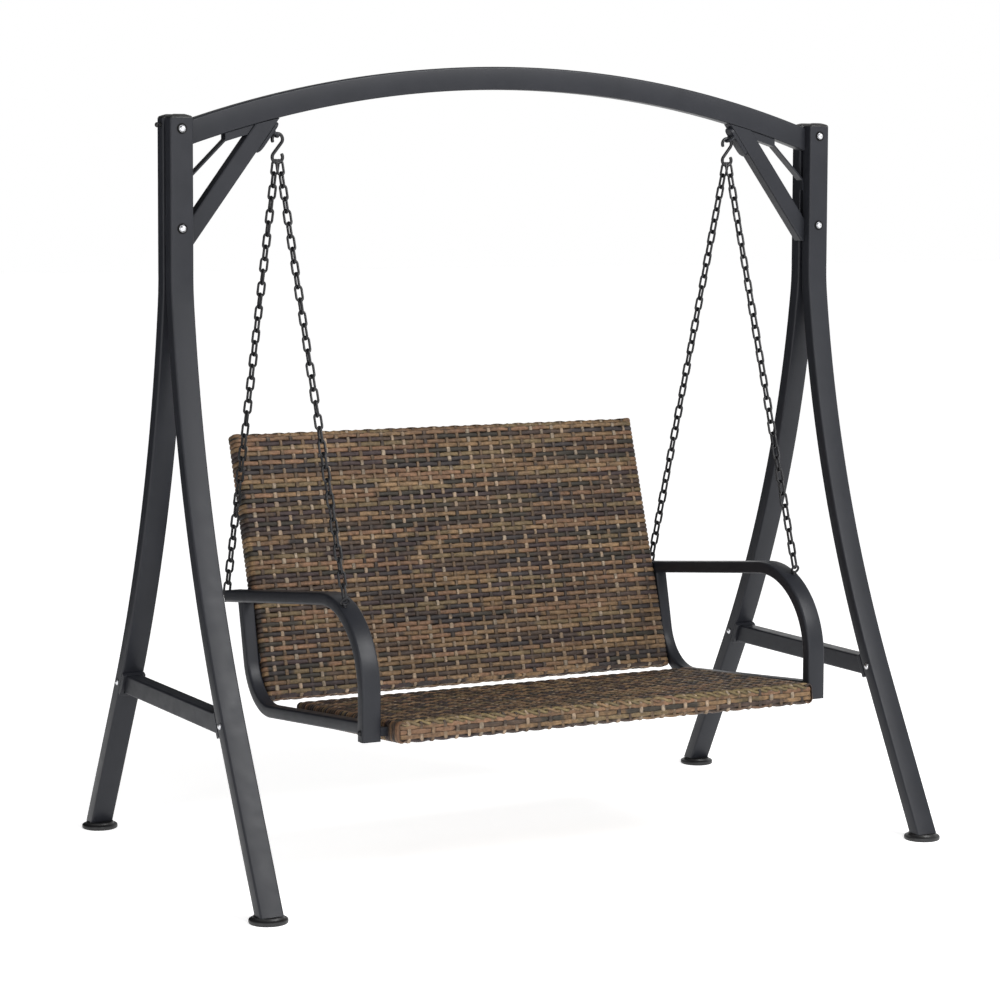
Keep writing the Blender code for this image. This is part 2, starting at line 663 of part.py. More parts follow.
def make_crossbar_bolt(side_name, end_name):
    """Barrel bolt through a leg and its socket tongue, domed at both ends."""
    side, end = SIDES[side_name], ENDS[end_name]
    half = LEG_WIDTH / 2 + GAP
    y = end * leg_at(BAR_BOLT_Z)[0]
    head = [(0, 0.0045), (0.0050, 0.0038), (0.0078, 0.0018), (0.0080, 0)]
    profile = [(r, half + t) for r, t in head] + [(BOLT_R, half), (BOLT_R, -half)]
    profile += [(r, -half - t) for r, t in reversed(head)]
    return smooth(turned(f"crossbar_bolt_{end_name}_{side_name}", profile, "zinc",
                         (side * LEG_X, y, BAR_BOLT_Z), axis=(side, 0, 0), steps=12))


def make_side_knob():
    """Short round-headed stud on the outer side of the left rear leg, near its top."""
    profile = [(0, 0.0155), (0.0034, 0.0148), (0.0055, 0.0128), (0.0062, 0.0106),
               (0.0055, 0.0084), (0.0040, 0.0074), (0.0040, 0.0016), (0.0055, 0.0014),
               (0.0055, 0), (0, 0)]
    base = (-LEG_X - LEG_WIDTH / 2 - GAP, KNOB_Y, KNOB_Z)
    return smooth(turned("side_knob_left", profile, "plastic", base, axis=(-1, 0, 0)))


# ------------------------------------------------------------------ swinging bench
def hook_points():
    """S-hook centreline about its own top bend, as (x, z) points."""
    r, d = HOOK_RADIUS, HOOK_SPACING
    cross = math.acos(2 * r / d)
    upper, lower = (0.0, -r), (0.0, -r - d)
    first = arc(upper, r, math.radians(205), -math.pi / 2 + cross, 10)
    second = arc(lower, r, math.pi / 2 + cross, math.radians(390), 10)
    return first + second


def make_hook(side_name):
    x = SIDES[side_name] * HINGE_X
    points = [(x + u, HINGE_Y, HINGE_Z + v) for u, v in hook_points()]
    return wire(f"s_hook_{side_name}", points, WIRE_R, "chain")


def arm_eye(end_name, side_name):
    """Ring centre and shank direction of an eye bolt in the arm."""
    x = SIDES[side_name] * CHAIN_EYE_X
    lift = ARM_DEPTH / 2 + RING_RADIUS + RING_WIRE + 0.0015
    if end_name == "front":
        out = Vector((0, -math.sin(FRONT_EYE_TURN), math.cos(FRONT_EYE_TURN)))
        centre = Vector((x, ARM_BEND_Y, ARM_BEND_Z)) + out * (ARM_RADIUS + lift)
        return centre, out
    rear_y, rear_z = arm_path()[0]
    out = Vector((0, math.cos(ARM_PITCH), -math.sin(ARM_PITCH)))
    centre = Vector((x, rear_y, rear_z)) + out * (RING_RADIUS + RING_WIRE + 0.0065)
    return centre, out


def make_eye_bolt(end_name, side_name):
    """Ring on a collared shank with its nut, fixed through the arm tube or its plug."""
    centre, out = arm_eye(end_name, side_name)
    name = f"eye_bolt_{end_name}_{side_name}"
    collar_top = centre - out * (RING_RADIUS - 0.0005)
    collar = 0.0040
    inside = 0.0240
    if end_name == "front":
        inside = ARM_DEPTH + 0.0080
    turn = out.to_track_quat("Z", "Y").to_matrix().to_4x4()
    if end_name == "rear":
        spin = Matrix.Rotation(math.pi / 2, 4, "Z")
    else:
        spin = Matrix.Identity(4)
    upright = Matrix.Rotation(math.pi / 2, 4, "X")
    bpy.ops.mesh.primitive_torus_add(major_segments=14, minor_segments=6,
                                     major_radius=RING_RADIUS, minor_radius=RING_WIRE)
    ring = bpy.context.active_object
    mesh = ring.data
    mesh.name = name
    bpy.data.objects.remove(ring, do_unlink=True)
    mesh.transform(Matrix.Translation(centre) @ turn @ spin @ upright)
    mesh.materials.clear()
    bolt = place(mesh, name, "chain")
    surface = centre - out * (RING_RADIUS + RING_WIRE + 0.0015 - GAP)
    boolean(bolt, cylinder(name + "_shank", 0.0035, collar_top, surface - out * inside,
                           segments=16), "UNION")
    boolean(bolt, cylinder(name + "_collar", 0.0070, surface + out * (collar * 0.6), surface,
                           segments=16), "UNION")
    if end_name == "front":
        nut = surface - out * (ARM_DEPTH + 0.0020)
        boolean(bolt, cylinder(name + "_nut", 0.0070, nut, nut - out * 0.0060, segments=6), "UNION")
    return smooth(bolt)


def make_arm(side_name):
    """Armrest tube bent down into the front post."""
    side = SIDES[side_name]
    name = f"arm_{side_name}"
    arm = tube(name, arm_path(), "X", side * ARM_X, ARM_WIDTH, ARM_DEPTH, ARM_CORNER, "steel")
    centre, out = arm_eye("front", side_name)
    boolean(arm, cylinder(name + "_eye_hole", 0.0040, centre, centre - out * 0.08))
    y = ARM_BEND_Y - ARM_RADIUS
    boolean(arm, cylinder(name + "_bolt_hole", BOLT_HOLE_R, (side * (ARM_X - 0.05), y, SEAT_BOLT_Z),
                          (side * (ARM_X + 0.05), y, SEAT_BOLT_Z)))
    return smooth(arm)


def make_arm_plug(side_name):
    """Plastic plug in the arm's rear end, bored for the rear eye bolt."""
    side = SIDES[side_name]
    name = f"arm_plug_{side_name}"
    rear = Vector((side * ARM_X, *arm_path()[0]))
    out = Vector((0, math.cos(ARM_PITCH), -math.sin(ARM_PITCH)))
    tilt = (-ARM_PITCH, 0, 0)
    plug = box(name, (ARM_WIDTH, 0.004, ARM_DEPTH), rear + out * (0.002 + GAP), "plastic", tilt)
    bevel(plug, 0.0012)
    core = box(name + "_core", (ARM_WIDTH - 2 * WALL - 0.001, 0.026, ARM_DEPTH - 2 * WALL - 0.001),
               rear - out * 0.011, rotation=tilt)
    boolean(plug, core, "UNION")
    centre, _ = arm_eye("rear", side_name)
    boolean(plug, cylinder(name + "_hole", 0.0040, centre, centre - out * 0.08))
    return smooth(plug)


def make_side_frame(side_name):
    """L-shaped tube: upright behind the bench's end and rail along the seat."""
    side = SIDES[side_name]
    name = f"side_frame_{side_name}"
    frame = tube(name, extended(side_path(), 0.05), "X", side * SIDE_X, SIDE_WIDTH, ARM_DEPTH,
                 ARM_CORNER, "steel")
    rear_y, rear_z = arm_path()[0]
    up = Vector((math.sin(ARM_PITCH), math.cos(ARM_PITCH)))
    under = Vector((rear_y, rear_z)) + up * (0.1 - ARM_DEPTH / 2 - GAP)
    boolean(frame, box(name + "_arm_trim", (0.2, 0.6, 0.2), (side * SIDE_X, under.x, under.y),
                       rotation=(-ARM_PITCH, 0, 0)))
    post_y = ARM_BEND_Y - ARM_RADIUS + ARM_DEPTH / 2 + GAP
    boolean(frame, box(name + "_post_trim", (0.2, 0.2, 0.3), (side * SIDE_X, post_y - 0.1, 0.39)))
    return smooth(weld(frame))


def panel_matrix(centre, pitch):
    return Matrix.Translation(centre) @ Matrix.Rotation(pitch, 4, "X")


def make_panel(name, size, matrix, stubs):
    """Woven panel as a hollow rounded slab, open where the frame's stubs come out."""
    plan = rounded_rectangle(size.x, size.y, PANEL_CORNER)
    panel = bevel(outline_solid(name, plan, size.z, matrix, "wicker"), PANEL_EDGE)
    hollow = rounded_rectangle(size.x - 2 * WEAVE, size.y - 2 * WEAVE, PANEL_CORNER - WEAVE)
    cavity = outline_solid(name + "_cavity", hollow, size.z - 2 * WEAVE, matrix)
    boolean(panel, bevel(cavity, PANEL_EDGE - WEAVE))
    hole = STUB + 0.002
    for v in stubs:
        slot = box(f"{name}_slot_{v:.3f}", (size.x + 0.1, hole, hole), (0, 0, 0))
        slot.matrix_world = matrix @ Matrix.Translation((0, v, 0))
        core = box(f"{name}_keep_{v:.3f}", (size.x - 0.06, 0.1, 0.1), (0, 0, 0))
        core.matrix_world = slot.matrix_world
        boolean(slot, core)
        boolean(panel, slot)
    return smooth(panel)


def slatted(name, size, bar, thickness, matrix, slats, finish=None):
    """Flat slab with a row of windows that leaves a border and slats of one bar's width."""
    width, height = size
    slab = box(name, (width, height, thickness), (0, 0, 0), finish)
    slab.matrix_world = matrix
    pitch = (width - bar) / (slats + 1)
    for i in range(slats + 1):
        window = box(f"{name}_window_{i}", (pitch - bar, height - 2 * bar, 0.1), (0, 0, 0))
        window.matrix_world = matrix @ Matrix.Translation((pitch * (i - slats / 2), 0, 0))
        boolean(slab, window)
    return slab


def make_panel_frame(name, size, matrix, stubs, bar, slats, bolted):
    """Welded tube frame inside a panel; its side stubs meet the side tubes."""
    width, height = size.x - 2 * FRAME_INSET, size.y - 2 * FRAME_INSET
    frame = slatted(name, (width, height), bar, bar, matrix, slats, "steel")
    inner = (width - 2 * WALL, height - 2 * WALL)
    boolean(frame, slatted(name + "_bore", inner, bar - 2 * WALL, bar - 2 * WALL, matrix, slats))
    start, reach = width / 2 - WALL * 0.6, ARM_INNER_X - GAP
    for side_name, side in SIDES.items():
        for v in stubs:
            stub = box(f"{name}_stub_{side_name}_{v:.3f}", (reach - start, STUB, STUB), (0, 0, 0))
            stub.matrix_world = matrix @ Matrix.Translation((side * (reach + start) / 2, v, 0))
            boolean(frame, stub, "UNION")
        root = matrix @ Vector((side * (width - bar) / 2, bolted, 0))
        boolean(frame, cylinder(f"{name}_hole_{side_name}", BOLT_HOLE_R, root,
                                root + Vector((side * 0.08, 0, 0))))
    return frame


def make_seat_bolt(side_name):
    """Bolt through the front post into the seat frame."""
    side = SIDES[side_name]
    face = side * (ARM_INNER_X + ARM_WIDTH + GAP)
    profile = bolt_profile(ARM_WIDTH + 0.020, head_r=0.0065, washer_r=0.0080)
    return smooth(turned(f"seat_bolt_{side_name}", profile, "zinc",
                         (face, ARM_BEND_Y - ARM_RADIUS, SEAT_BOLT_Z), axis=(side, 0, 0), steps=12))


def make_chain(end_name, side_name):
    """One chain as a straight slim bar between the S-hook and the arm's eye."""
    side, end = SIDES[side_name], ENDS[end_name]
    top = Vector((side * HINGE_X - end * CHAIN_SIDE_STEP, HINGE_Y,
                  HINGE_Z - 2 * HOOK_RADIUS - HOOK_SPACING))
    ring, _ = arm_eye(end_name, side_name)
    run = (ring - top).normalized()
    start = top + run * 0.011
    finish = ring - run * (RING_RADIUS + RING_WIRE + CHAIN_R)
    return wire(f"chain_{end_name}_{side_name}", [start, (start + finish) / 2, finish], CHAIN_R,
                "chain")


# ------------------------------------------------------------------ assembly
def make_stand():
    make_arch()
    make_side_knob()
    for side_name in SIDES:
        make_brace(side_name)
        make_strap(side_name)
        make_eye_plate(side_name)
        make_crossbar(side_name)
        for level in POST_BOLT_Z:
            make_post_fasteners(side_name, level)
        for end_name in ENDS:
            make_leg(side_name, end_name)
            make_cap(side_name, end_name)
            make_foot(side_name, end_name)
            make_socket(side_name, end_name)
            make_crossbar_bolt(side_name, end_name)


def make_bench():
    seat, back = panel_matrix(SEAT_CENTRE, SEAT_PITCH), panel_matrix(BACK_CENTRE, BACK_PITCH)
    post_v = (ARM_BEND_Y - ARM_RADIUS - SEAT_CENTRE.y) / math.cos(SEAT_PITCH)
    seat_stubs, back_stubs = (post_v, 0.180), (-0.232, -0.062)
    pieces = [make_panel("seat_weave", SEAT_SIZE, seat, seat_stubs),
              make_panel("back_weave", BACK_SIZE, back, back_stubs),
              make_panel_frame("seat_frame", SEAT_SIZE, seat, seat_stubs, SEAT_BAR, 2, post_v),
              make_panel_frame("back_frame", BACK_SIZE, back, back_stubs, BACK_BAR, 1,
                               back_stubs[1])]
    for side_name in SIDES:
        pieces += [make_hook(side_name), make_arm(side_name), make_arm_plug(side_name),
                   make_side_frame(side_name), make_seat_bolt(side_name)]
        for end_name in ENDS:
            pieces += [make_eye_bolt(end_name, side_name), make_chain(end_name, side_name)]
    return pieces


def hang(pieces):
    """Parent the swinging pieces to an empty on the hinge axis, keeping their places."""
    pivot = bpy.data.objects.new("swing_axis", None)
    pivot.location = (0, HINGE_Y, HINGE_Z)
    PARTS.objects.link(pivot)
    for piece in pieces:
        piece.parent = pivot
        piece.matrix_parent_inverse = Matrix.Translation(-pivot.location)


make_stand()
hang(make_bench())
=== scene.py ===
"""Looks of the garden porch swing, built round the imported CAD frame.

Metres, +Z up.  The stand's pieces ride on body "stand"; hooks, chains and bench ride on
body "swing".  Bent tubes, wires, fasteners and the woven panels are finer pieces that
replace their CAD nodes; straight tubes and brackets keep their CAD nodes.
"""

import json
import math
import random

import bmesh
import bpy
import numpy as np
from mathutils import Matrix, Vector


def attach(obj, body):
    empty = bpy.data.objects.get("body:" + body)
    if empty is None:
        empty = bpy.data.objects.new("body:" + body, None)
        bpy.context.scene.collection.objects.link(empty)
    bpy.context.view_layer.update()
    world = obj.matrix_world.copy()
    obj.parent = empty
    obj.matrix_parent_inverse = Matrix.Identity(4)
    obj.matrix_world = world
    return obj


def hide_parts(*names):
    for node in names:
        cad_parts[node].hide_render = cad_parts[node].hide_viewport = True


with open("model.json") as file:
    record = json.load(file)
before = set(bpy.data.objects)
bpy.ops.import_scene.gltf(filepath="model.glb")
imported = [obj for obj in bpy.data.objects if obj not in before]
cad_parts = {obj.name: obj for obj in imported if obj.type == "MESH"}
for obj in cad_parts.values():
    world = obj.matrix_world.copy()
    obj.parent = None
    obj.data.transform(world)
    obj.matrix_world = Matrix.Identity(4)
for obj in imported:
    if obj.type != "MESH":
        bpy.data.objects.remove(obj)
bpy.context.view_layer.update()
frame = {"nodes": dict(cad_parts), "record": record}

STAND, SWING = "stand", "swing"
SIDES = {"left": -1, "right": 1}
ENDS = {"front": -1, "rear": 1}
CORNERS = [(f"{end_name}_{side_name}", side, end)
           for side_name, side in SIDES.items() for end_name, end in ENDS.items()]

# ---------------- sizes, as in the CAD
LEG_X, LEG_WIDTH, LEG_DEPTH, LEG_SLOT = 0.900, 0.058, 0.036, 0.013
LEG_TOP_Z, LEG_BEND_Z, LEG_CORNER = 1.800, 1.430, 0.0045
LEG_TOP_Y = LEG_SLOT / 2 + LEG_DEPTH / 2
LEG_BENDS = ((0.55, math.radians(7.5), 8), (2.87, math.radians(28.3), 28))
LEG_INNER_X = LEG_X - LEG_WIDTH / 2
LEG_OUTER_Y = LEG_SLOT / 2 + LEG_DEPTH
FOOT_RADIUS, FOOT_HEIGHT, FOOT_INSET = 0.045, 0.0165, 0.004
ARCH_TOP_Z, ARCH_RADIUS, ARCH_HEIGHT, ARCH_DEPTH = 1.938, 2.749, 0.057, 0.037
ARCH_CENTRE_Z, ARCH_END_GAP = ARCH_TOP_Z - ARCH_RADIUS, 0.0005
TONGUE_LENGTH, TONGUE_OVERLAP, TONGUE_CORNER = 0.028, 0.004, 0.0006
BRACE_HEIGHT, BRACE_SLOPE, BRACE_LEG_Z = 0.043, 1.349, 1.525
POST_BOLT_Z = {"upper": 1.775, "lower": 1.541}
BAR_BOLT_Z = 0.411
CAP_INSETS = (0.0003, 0.0003, 0.0007, 0.0015, 0.0028, 0.0050, 0.0085, 0.0125, 0.0160)
CAP_RISE, CAP_SKIRT, CAP_ROUNDING, CAP_LEAST_CORNER = 0.0085, 0.0022, 0.0030, 0.0008
KNOB_Y, KNOB_Z, KNOB_LENGTH = 0.016, 1.784, 0.0155
KNOB_RADIUS, KNOB_ROUND, KNOB_MIDDLE = 0.0062, 0.0054, 0.0100
WASHER_THICK = 0.0012
WALL = 0.0015
GAP = 0.0003

HINGE = Vector((0.638, 0.0, 1.7665))
WIRE_R, EYE_SPREAD = 0.0035, 0.013
PLATE_THICK, PLATE_LENGTH, PLATE_WIDTH, PLATE_DROP = 0.008, 0.090, 0.034, 0.018
HOOK_RADIUS, HOOK_SPACING, HOOK_WIRE_R = 0.0135, 0.043, 0.0042
LINK_WIRE_R, LINK_WIDTH, LINK_SLACK = 0.0031, 0.0225, math.radians(9)
CHAIN_SIDE_STEP = 0.004
CHAIN_LINKS = {ENDS["front"]: 34, ENDS["rear"]: 37}
RING_RADIUS, RING_WIRE, RING_STEM, REAR_RING_STEM = 0.009, 0.003, 0.0015, 0.0065
REAR_SHANK, SHANK_PAST_ARM, COLLAR_HEIGHT = 0.024, 0.010, 0.0024

ARM_INNER_X, ARM_WIDTH, ARM_DEPTH = 0.590, 0.048, 0.030
ARM_X = ARM_INNER_X + ARM_WIDTH / 2
ARM_PITCH, ARM_RADIUS = math.radians(6.8), 0.200
ARM_BEND_Y, ARM_BEND_Z, ARM_REAR_Y = -0.260, 0.4750, 0.332
POST_BOTTOM_Z = 0.371
SIDE_LEAN, RAIL_PITCH = math.radians(13.0), math.radians(5.4)
SIDE_TOP, RAIL_FRONT, SIDE_RADIUS = Vector((0.2725, 0.605)), Vector((-0.434, 0.398)), 0.135
SIDE_WIDTH, ARM_CORNER = 0.033, 0.0055
SIDE_X = ARM_INNER_X + SIDE_WIDTH / 2
CHAIN_EYE_X, FRONT_EYE_TURN = 0.626, math.radians(25.0)

SEAT_SIZE, SEAT_CENTRE = Vector((1.143, 0.570, 0.054)), Vector((0.0, -0.240, 0.374))
SEAT_PITCH = math.radians(-4.6)
BACK_SIZE, BACK_CENTRE = Vector((1.177, 0.686, 0.049)), Vector((0.0, 0.3054, 0.679))
BACK_PITCH = math.radians(90 - 18.3)
SEAT_BOLT_Z = SEAT_CENTRE.z + (ARM_BEND_Y - ARM_RADIUS - SEAT_CENTRE.y) * math.tan(SEAT_PITCH)

# ---------------- materials
SOFT_GLOSS = 0.25


def shader_material(name, color, roughness, metallic=0.0):
    material = bpy.data.materials.new(name)
    material.use_nodes = True
    shader = material.node_tree.nodes["Principled BSDF"]
    shader.inputs["Base Color"].default_value = (*color, 1.0)
    shader.inputs["Roughness"].default_value = roughness
    shader.inputs["Metallic"].default_value = metallic
    return material, material.node_tree, shader


def noise(tree, vector, scale, detail=2.0, roughness=0.5):
    node = tree.nodes.new("ShaderNodeTexNoise")
    node.inputs["Scale"].default_value = scale
    node.inputs["Detail"].default_value = detail
    node.inputs["Roughness"].default_value = roughness
    tree.links.new(vector, node.inputs["Vector"])
    return node.outputs["Fac"]


def ranged(tree, value, low, high, low_in=0.3, high_in=0.7):
    node = tree.nodes.new("ShaderNodeMapRange")
    node.inputs["From Min"].default_value = low_in
    node.inputs["From Max"].default_value = high_in
    node.inputs["To Min"].default_value = low
    node.inputs["To Max"].default_value = high
    tree.links.new(value, node.inputs["Value"])
    return node.outputs["Result"]


def z_part(tree, vector):
    node = tree.nodes.new("ShaderNodeSeparateXYZ")
    tree.links.new(vector, node.inputs["Vector"])
    return node.outputs["Z"]


def attribute(tree, name, output):
    node = tree.nodes.new("ShaderNodeAttribute")
    node.attribute_name = name
    return node.outputs[output]


def combined(tree, operation, *values):
    node = tree.nodes.new("ShaderNodeMath")
    node.operation = operation
    for socket, value in zip(node.inputs, values):
        tree.links.new(value, socket)
    return node.outputs["Value"]


def object_coordinates(tree):
    return tree.nodes.new("ShaderNodeTexCoord").outputs["Object"]


def bump(tree, shader, height, strength, distance):
    node = tree.nodes.new("ShaderNodeBump")
    node.inputs["Strength"].default_value = strength
    node.inputs["Distance"].default_value = distance
    tree.links.new(height, node.inputs["Height"])
    tree.links.new(node.outputs["Normal"], shader.inputs["Normal"])


def mixed_color(tree, factor, first, second):
    node = tree.nodes.new("ShaderNodeMix")
    node.data_type = "RGBA"
    node.inputs["A"].default_value = (*first, 1.0)
    node.inputs["B"].default_value = (*second, 1.0)
    tree.links.new(factor, node.inputs["Factor"])
    return node.outputs["Result"]


def mottled(name, base, colors, clouds, rough, grain, metallic=0.0, specular=0.5):
    """Surface with clouded colour, uneven roughness and a fine bump.

    base: plain colour and roughness.  clouds: scale and detail of the colour's noise.
    rough: scale and detail of the roughness's noise, then its range.
    grain: scale of the bump's noise, then its strength and distance.
    """
    material, tree, shader = shader_material(name, *base, metallic)
    shader.inputs["Specular IOR Level"].default_value = specular
    place = object_coordinates(tree)
    color = mixed_color(tree, noise(tree, place, *clouds), *colors)
    tree.links.new(color, shader.inputs["Base Color"])
    wear = ranged(tree, noise(tree, place, *rough[:2]), *rough[2:])
    tree.links.new(wear, shader.inputs["Roughness"])
    bump(tree, shader, noise(tree, place, grain[0]), *grain[1:])
    return material


def rattan():
    """Synthetic rattan strand: mixed colour per strand, long fine ribs and grain, and painted shade
    that darkens each strand towards its edges.
    """
    material, tree, shader = shader_material("rattan_strand", (0.15, 0.10, 0.06), 0.55)
    run = attribute(tree, "strand_run", "Vector")
    stretch = tree.nodes.new("ShaderNodeVectorMath")
    stretch.operation = "MULTIPLY"
    stretch.inputs[1].default_value = (26.0, 1500.0, 1.0)
    tree.links.new(run, stretch.inputs[0])
    streaks = noise(tree, stretch.outputs["Vector"], 1.0, 4.0, 0.65)
    mottle = noise(tree, object_coordinates(tree), 95.0, 4.0, 0.6)
    # Painted shade: the colour darkens towards the strand's two edges, where neighbouring strands
    # shade it; the mottle beside it is the strand's own colour.
    edge = ranged(tree, combined(tree, "ABSOLUTE", z_part(tree, run)), 1.0, 0.40, 0.55, 1.0)
    mottle_and_edge_shade = combined(tree, "MULTIPLY", edge, ranged(tree, mottle, 0.58, 1.42))
    shade = combined(tree, "MULTIPLY", ranged(tree, streaks, 0.50, 1.50), mottle_and_edge_shade)
    tint = tree.nodes.new("ShaderNodeVectorMath")
    tint.operation = "SCALE"
    tree.links.new(attribute(tree, "strand_tone", "Color"), tint.inputs[0])
    tree.links.new(shade, tint.inputs["Scale"])
    tree.links.new(tint.outputs["Vector"], shader.inputs["Base Color"])
    shader.inputs["Specular IOR Level"].default_value = SOFT_GLOSS
    tree.links.new(ranged(tree, streaks, 0.44, 0.62), shader.inputs["Roughness"])
    bump(tree, shader, streaks, 0.55, 0.0007)
    return material


STEEL = mottled("powder_coat_steel", ((0.014, 0.015, 0.019), 0.38),
                ((0.011, 0.012, 0.015), (0.018, 0.019, 0.024)), clouds=(9.0, 3.0),
                rough=(34.0, 4.0, 0.36, 0.44), grain=(1400.0, 0.10, 0.0004), specular=SOFT_GLOSS)
PLASTIC = mottled("black_plastic", ((0.006, 0.006, 0.006), 0.45),
                  ((0.004, 0.004, 0.004), (0.009, 0.009, 0.010)), clouds=(40.0, 3.0),
                  rough=(90.0, 3.0, 0.38, 0.55), grain=(900.0, 0.12, 0.0003))
ZINC = mottled("zinc_bolt", ((0.62, 0.63, 0.65), 0.28),
               ((0.48, 0.49, 0.52), (0.74, 0.74, 0.75)), clouds=(220.0, 3.0),
               rough=(300.0, 3.0, 0.22, 0.40), grain=(1200.0, 0.08, 0.0002), metallic=1.0)
HARDWARE = mottled("dark_hardware", ((0.006, 0.006, 0.007), 0.36),
                   ((0.004, 0.004, 0.005), (0.010, 0.010, 0.012)), clouds=(160.0, 4.0),
                   rough=(240.0, 3.0, 0.26, 0.46), grain=(800.0, 0.10, 0.0003), specular=0.35)
# Black washer under the post bolts' heads; its near-black colour is partly painted shade, standing
# in for the shadowed recess round each head.
BLACK_WASHER_SHADE = mottled("black_washer_shade", ((0.004, 0.004, 0.004), 0.8),
                 ((0.003, 0.003, 0.003), (0.007, 0.007, 0.007)), clouds=(300.0, 3.0),
                 rough=(500.0, 2.0, 0.7, 0.9), grain=(1500.0, 0.2, 0.0002), specular=0.15)
RATTAN = rattan()
SLOTS = {STEEL: "frame_steel", PLASTIC: "black_plastic", ZINC: "bolt_zinc",
         HARDWARE: "dark_hardware", RATTAN: "rattan_weave", BLACK_WASHER_SHADE: "black_plastic"}
BY_SLOT = {slot: material for material, slot in SLOTS.items() if material != BLACK_WASHER_SHADE}
for entry in frame["record"]["subparts"]:
    for material_slot in frame["nodes"][entry["node"]].material_slots:
        material_slot.material = BY_SLOT[entry["material_slot"]]

# ---------------- piece helpers
TIP_LENGTH, TIP_RADIUS = 0.5, 0.72


def linked(name, data):
    thing = bpy.data.objects.new(name, data)
    bpy.context.scene.collection.objects.link(thing)
    return thing


def add_piece(name, mesh, material, body, nodes=(), angle=32.0):
    """A shown piece: its mesh is in row coordinates, and it rides on a CAD body."""
    mesh.materials.clear()
    mesh.materials.append(material)
    mesh.shade_smooth()
    mesh.set_sharp_from_angle(angle=math.radians(angle))
    piece = linked(name, mesh)
    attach(piece, body)
    if nodes:
        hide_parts(*nodes)


def finished(name, shape, material, body, nodes=(), angle=32.0):
    bmesh.ops.recalc_face_normals(shape, faces=shape.faces)
    mesh = bpy.data.meshes.new(name)
    shape.to_mesh(mesh)
    shape.free()
    add_piece(name, mesh, material, body, nodes, angle)


def arc(centre, radius, start, end, count):
    """Points on an arc, angles in radians."""
    angles = [start + (end - start) * i / count for i in range(count + 1)]
    return [(centre[0] + radius * math.cos(a), centre[1] + radius * math.sin(a)) for a in angles]


def rounded_rectangle(width, height, radius, count=4):
    points = []
    for index, (sx, sy) in enumerate(((1, 1), (-1, 1), (-1, -1), (1, -1))):
        centre = (sx * (width / 2 - radius), sy * (height / 2 - radius))
        start = index * math.pi / 2
        points += arc(centre, radius, start, start + math.pi / 2, count)
    return points


def dome(radius, base, height, steps):
    """Quarter-ellipse profile of a domed head, from near its crown down to its rim."""
    turns = [math.pi / 2 * i / steps for i in range(1, steps + 1)]
    return [(radius * math.sin(a), base + height * math.cos(a)) for a in turns]


def in_plane(points, across, centre):
    """Planar points as 3-D vectors: YZ at x = centre, or XZ at y = centre."""
    if across == "X":
        return [Vector((centre, u, v)) for u, v in points]
    return [Vector((u, centre, v)) for u, v in points]


def join_rings(shape, rings):
    for first, second in zip(rings, rings[1:]):
        for i in range(len(first)):
            j = (i + 1) % len(first)
            shape.faces.new((first[i], first[j], second[j], second[i]))


def add_stack(shape, rings):
    """Solid between the first and the last ring of vertices."""
    join_rings(shape, rings)
    shape.faces.new(rings[0])
    shape.faces.new(rings[-1])


def swept_tube(shape, path, across, section, bore, cuts):
    """Hollow tube along a planar path with mitred stations; cuts give end directions."""
    binormal = Vector((1, 0, 0)) if across == "X" else Vector((0, 1, 0))
    outer, inner = [], []
    last = len(path) - 1
    for i, point in enumerate(path):
        before = (path[i] - path[i - 1]).normalized() if i else (path[1] - path[0]).normalized()
        after = (path[i + 1] - point).normalized() if i < last else before
        square = before.cross(binormal)
        middle = (before + after).normalized().cross(binormal)
        mitre = middle / middle.dot(square)
        cut = cuts[0] if i == 0 else cuts[1] if i == last else None
        if cut is not None:
            mitre = cut / cut.dot(square)
        for ring, outline in ((outer, section), (inner, bore)):
            ring.append([shape.verts.new(point + binormal * s + mitre * t) for s, t in outline])
    for rings in (outer, inner, (outer[0], inner[0]), (outer[-1], inner[-1])):
        join_rings(shape, rings)


def tube_piece(name, path, across, level, size, corner, body, nodes, cuts=(None, None),
               extra=None):
    """Rectangular steel tube with soft corners, along a path in the plane at a level."""
    shape = bmesh.new()
    width, depth = size
    section = rounded_rectangle(width, depth, corner)
    bore = rounded_rectangle(width - 2 * WALL, depth - 2 * WALL, corner - WALL)
    swept_tube(shape, in_plane(path, across, level), across, section, bore, cuts)
    if extra:
        extra(shape)
    finished(name, shape, STEEL, body, nodes)


def add_box(shape, size, centre, corner):
    """Box with rounded edges."""
    made = bmesh.ops.create_cube(shape, size=1.0)["verts"]
    bmesh.ops.scale(shape, vec=size, verts=made)
    edges = {edge for vert in made for edge in vert.link_edges}
    made = bmesh.ops.bevel(shape, geom=list(edges), offset=corner, segments=2,
                           affect="EDGES", profile=0.5)["verts"]
    bmesh.ops.transform(shape, matrix=Matrix.Translation(centre), verts=list(set(made)))


def add_wire(shape, points, radius, sides=14, closed=False):
    """Round wire along points; open ends are slightly rounded."""
    points = [Vector(p) for p in points]
    if not closed:
        head = points[0] + (points[0] - points[1]).normalized() * radius * TIP_LENGTH
        tail = points[-1] + (points[-1] - points[-2]).normalized() * radius * TIP_LENGTH
        points = [head] + points + [tail]
    count = len(points)
    turns = [2 * math.pi * j / sides for j in range(sides)]
    normal = None
    rings = []
    for i, point in enumerate(points):
        if closed:
            tangent = (points[(i + 1) % count] - points[i - 1]).normalized()
        else:
            tangent = (points[min(i + 1, count - 1)] - points[max(i - 1, 0)]).normalized()
        if normal is None:
            normal = tangent.orthogonal().normalized()
        normal = (normal - tangent * normal.dot(tangent)).normalized()
        side = tangent.cross(normal)
        thin = TIP_RADIUS if not closed and i in (0, count - 1) else 1.0
        rings.append([shape.verts.new(point + (normal * math.cos(a) + side * math.sin(a))
                                      * radius * thin) for a in turns])
    if closed:
        join_rings(shape, rings + rings[:1])
    else:
        add_stack(shape, rings)


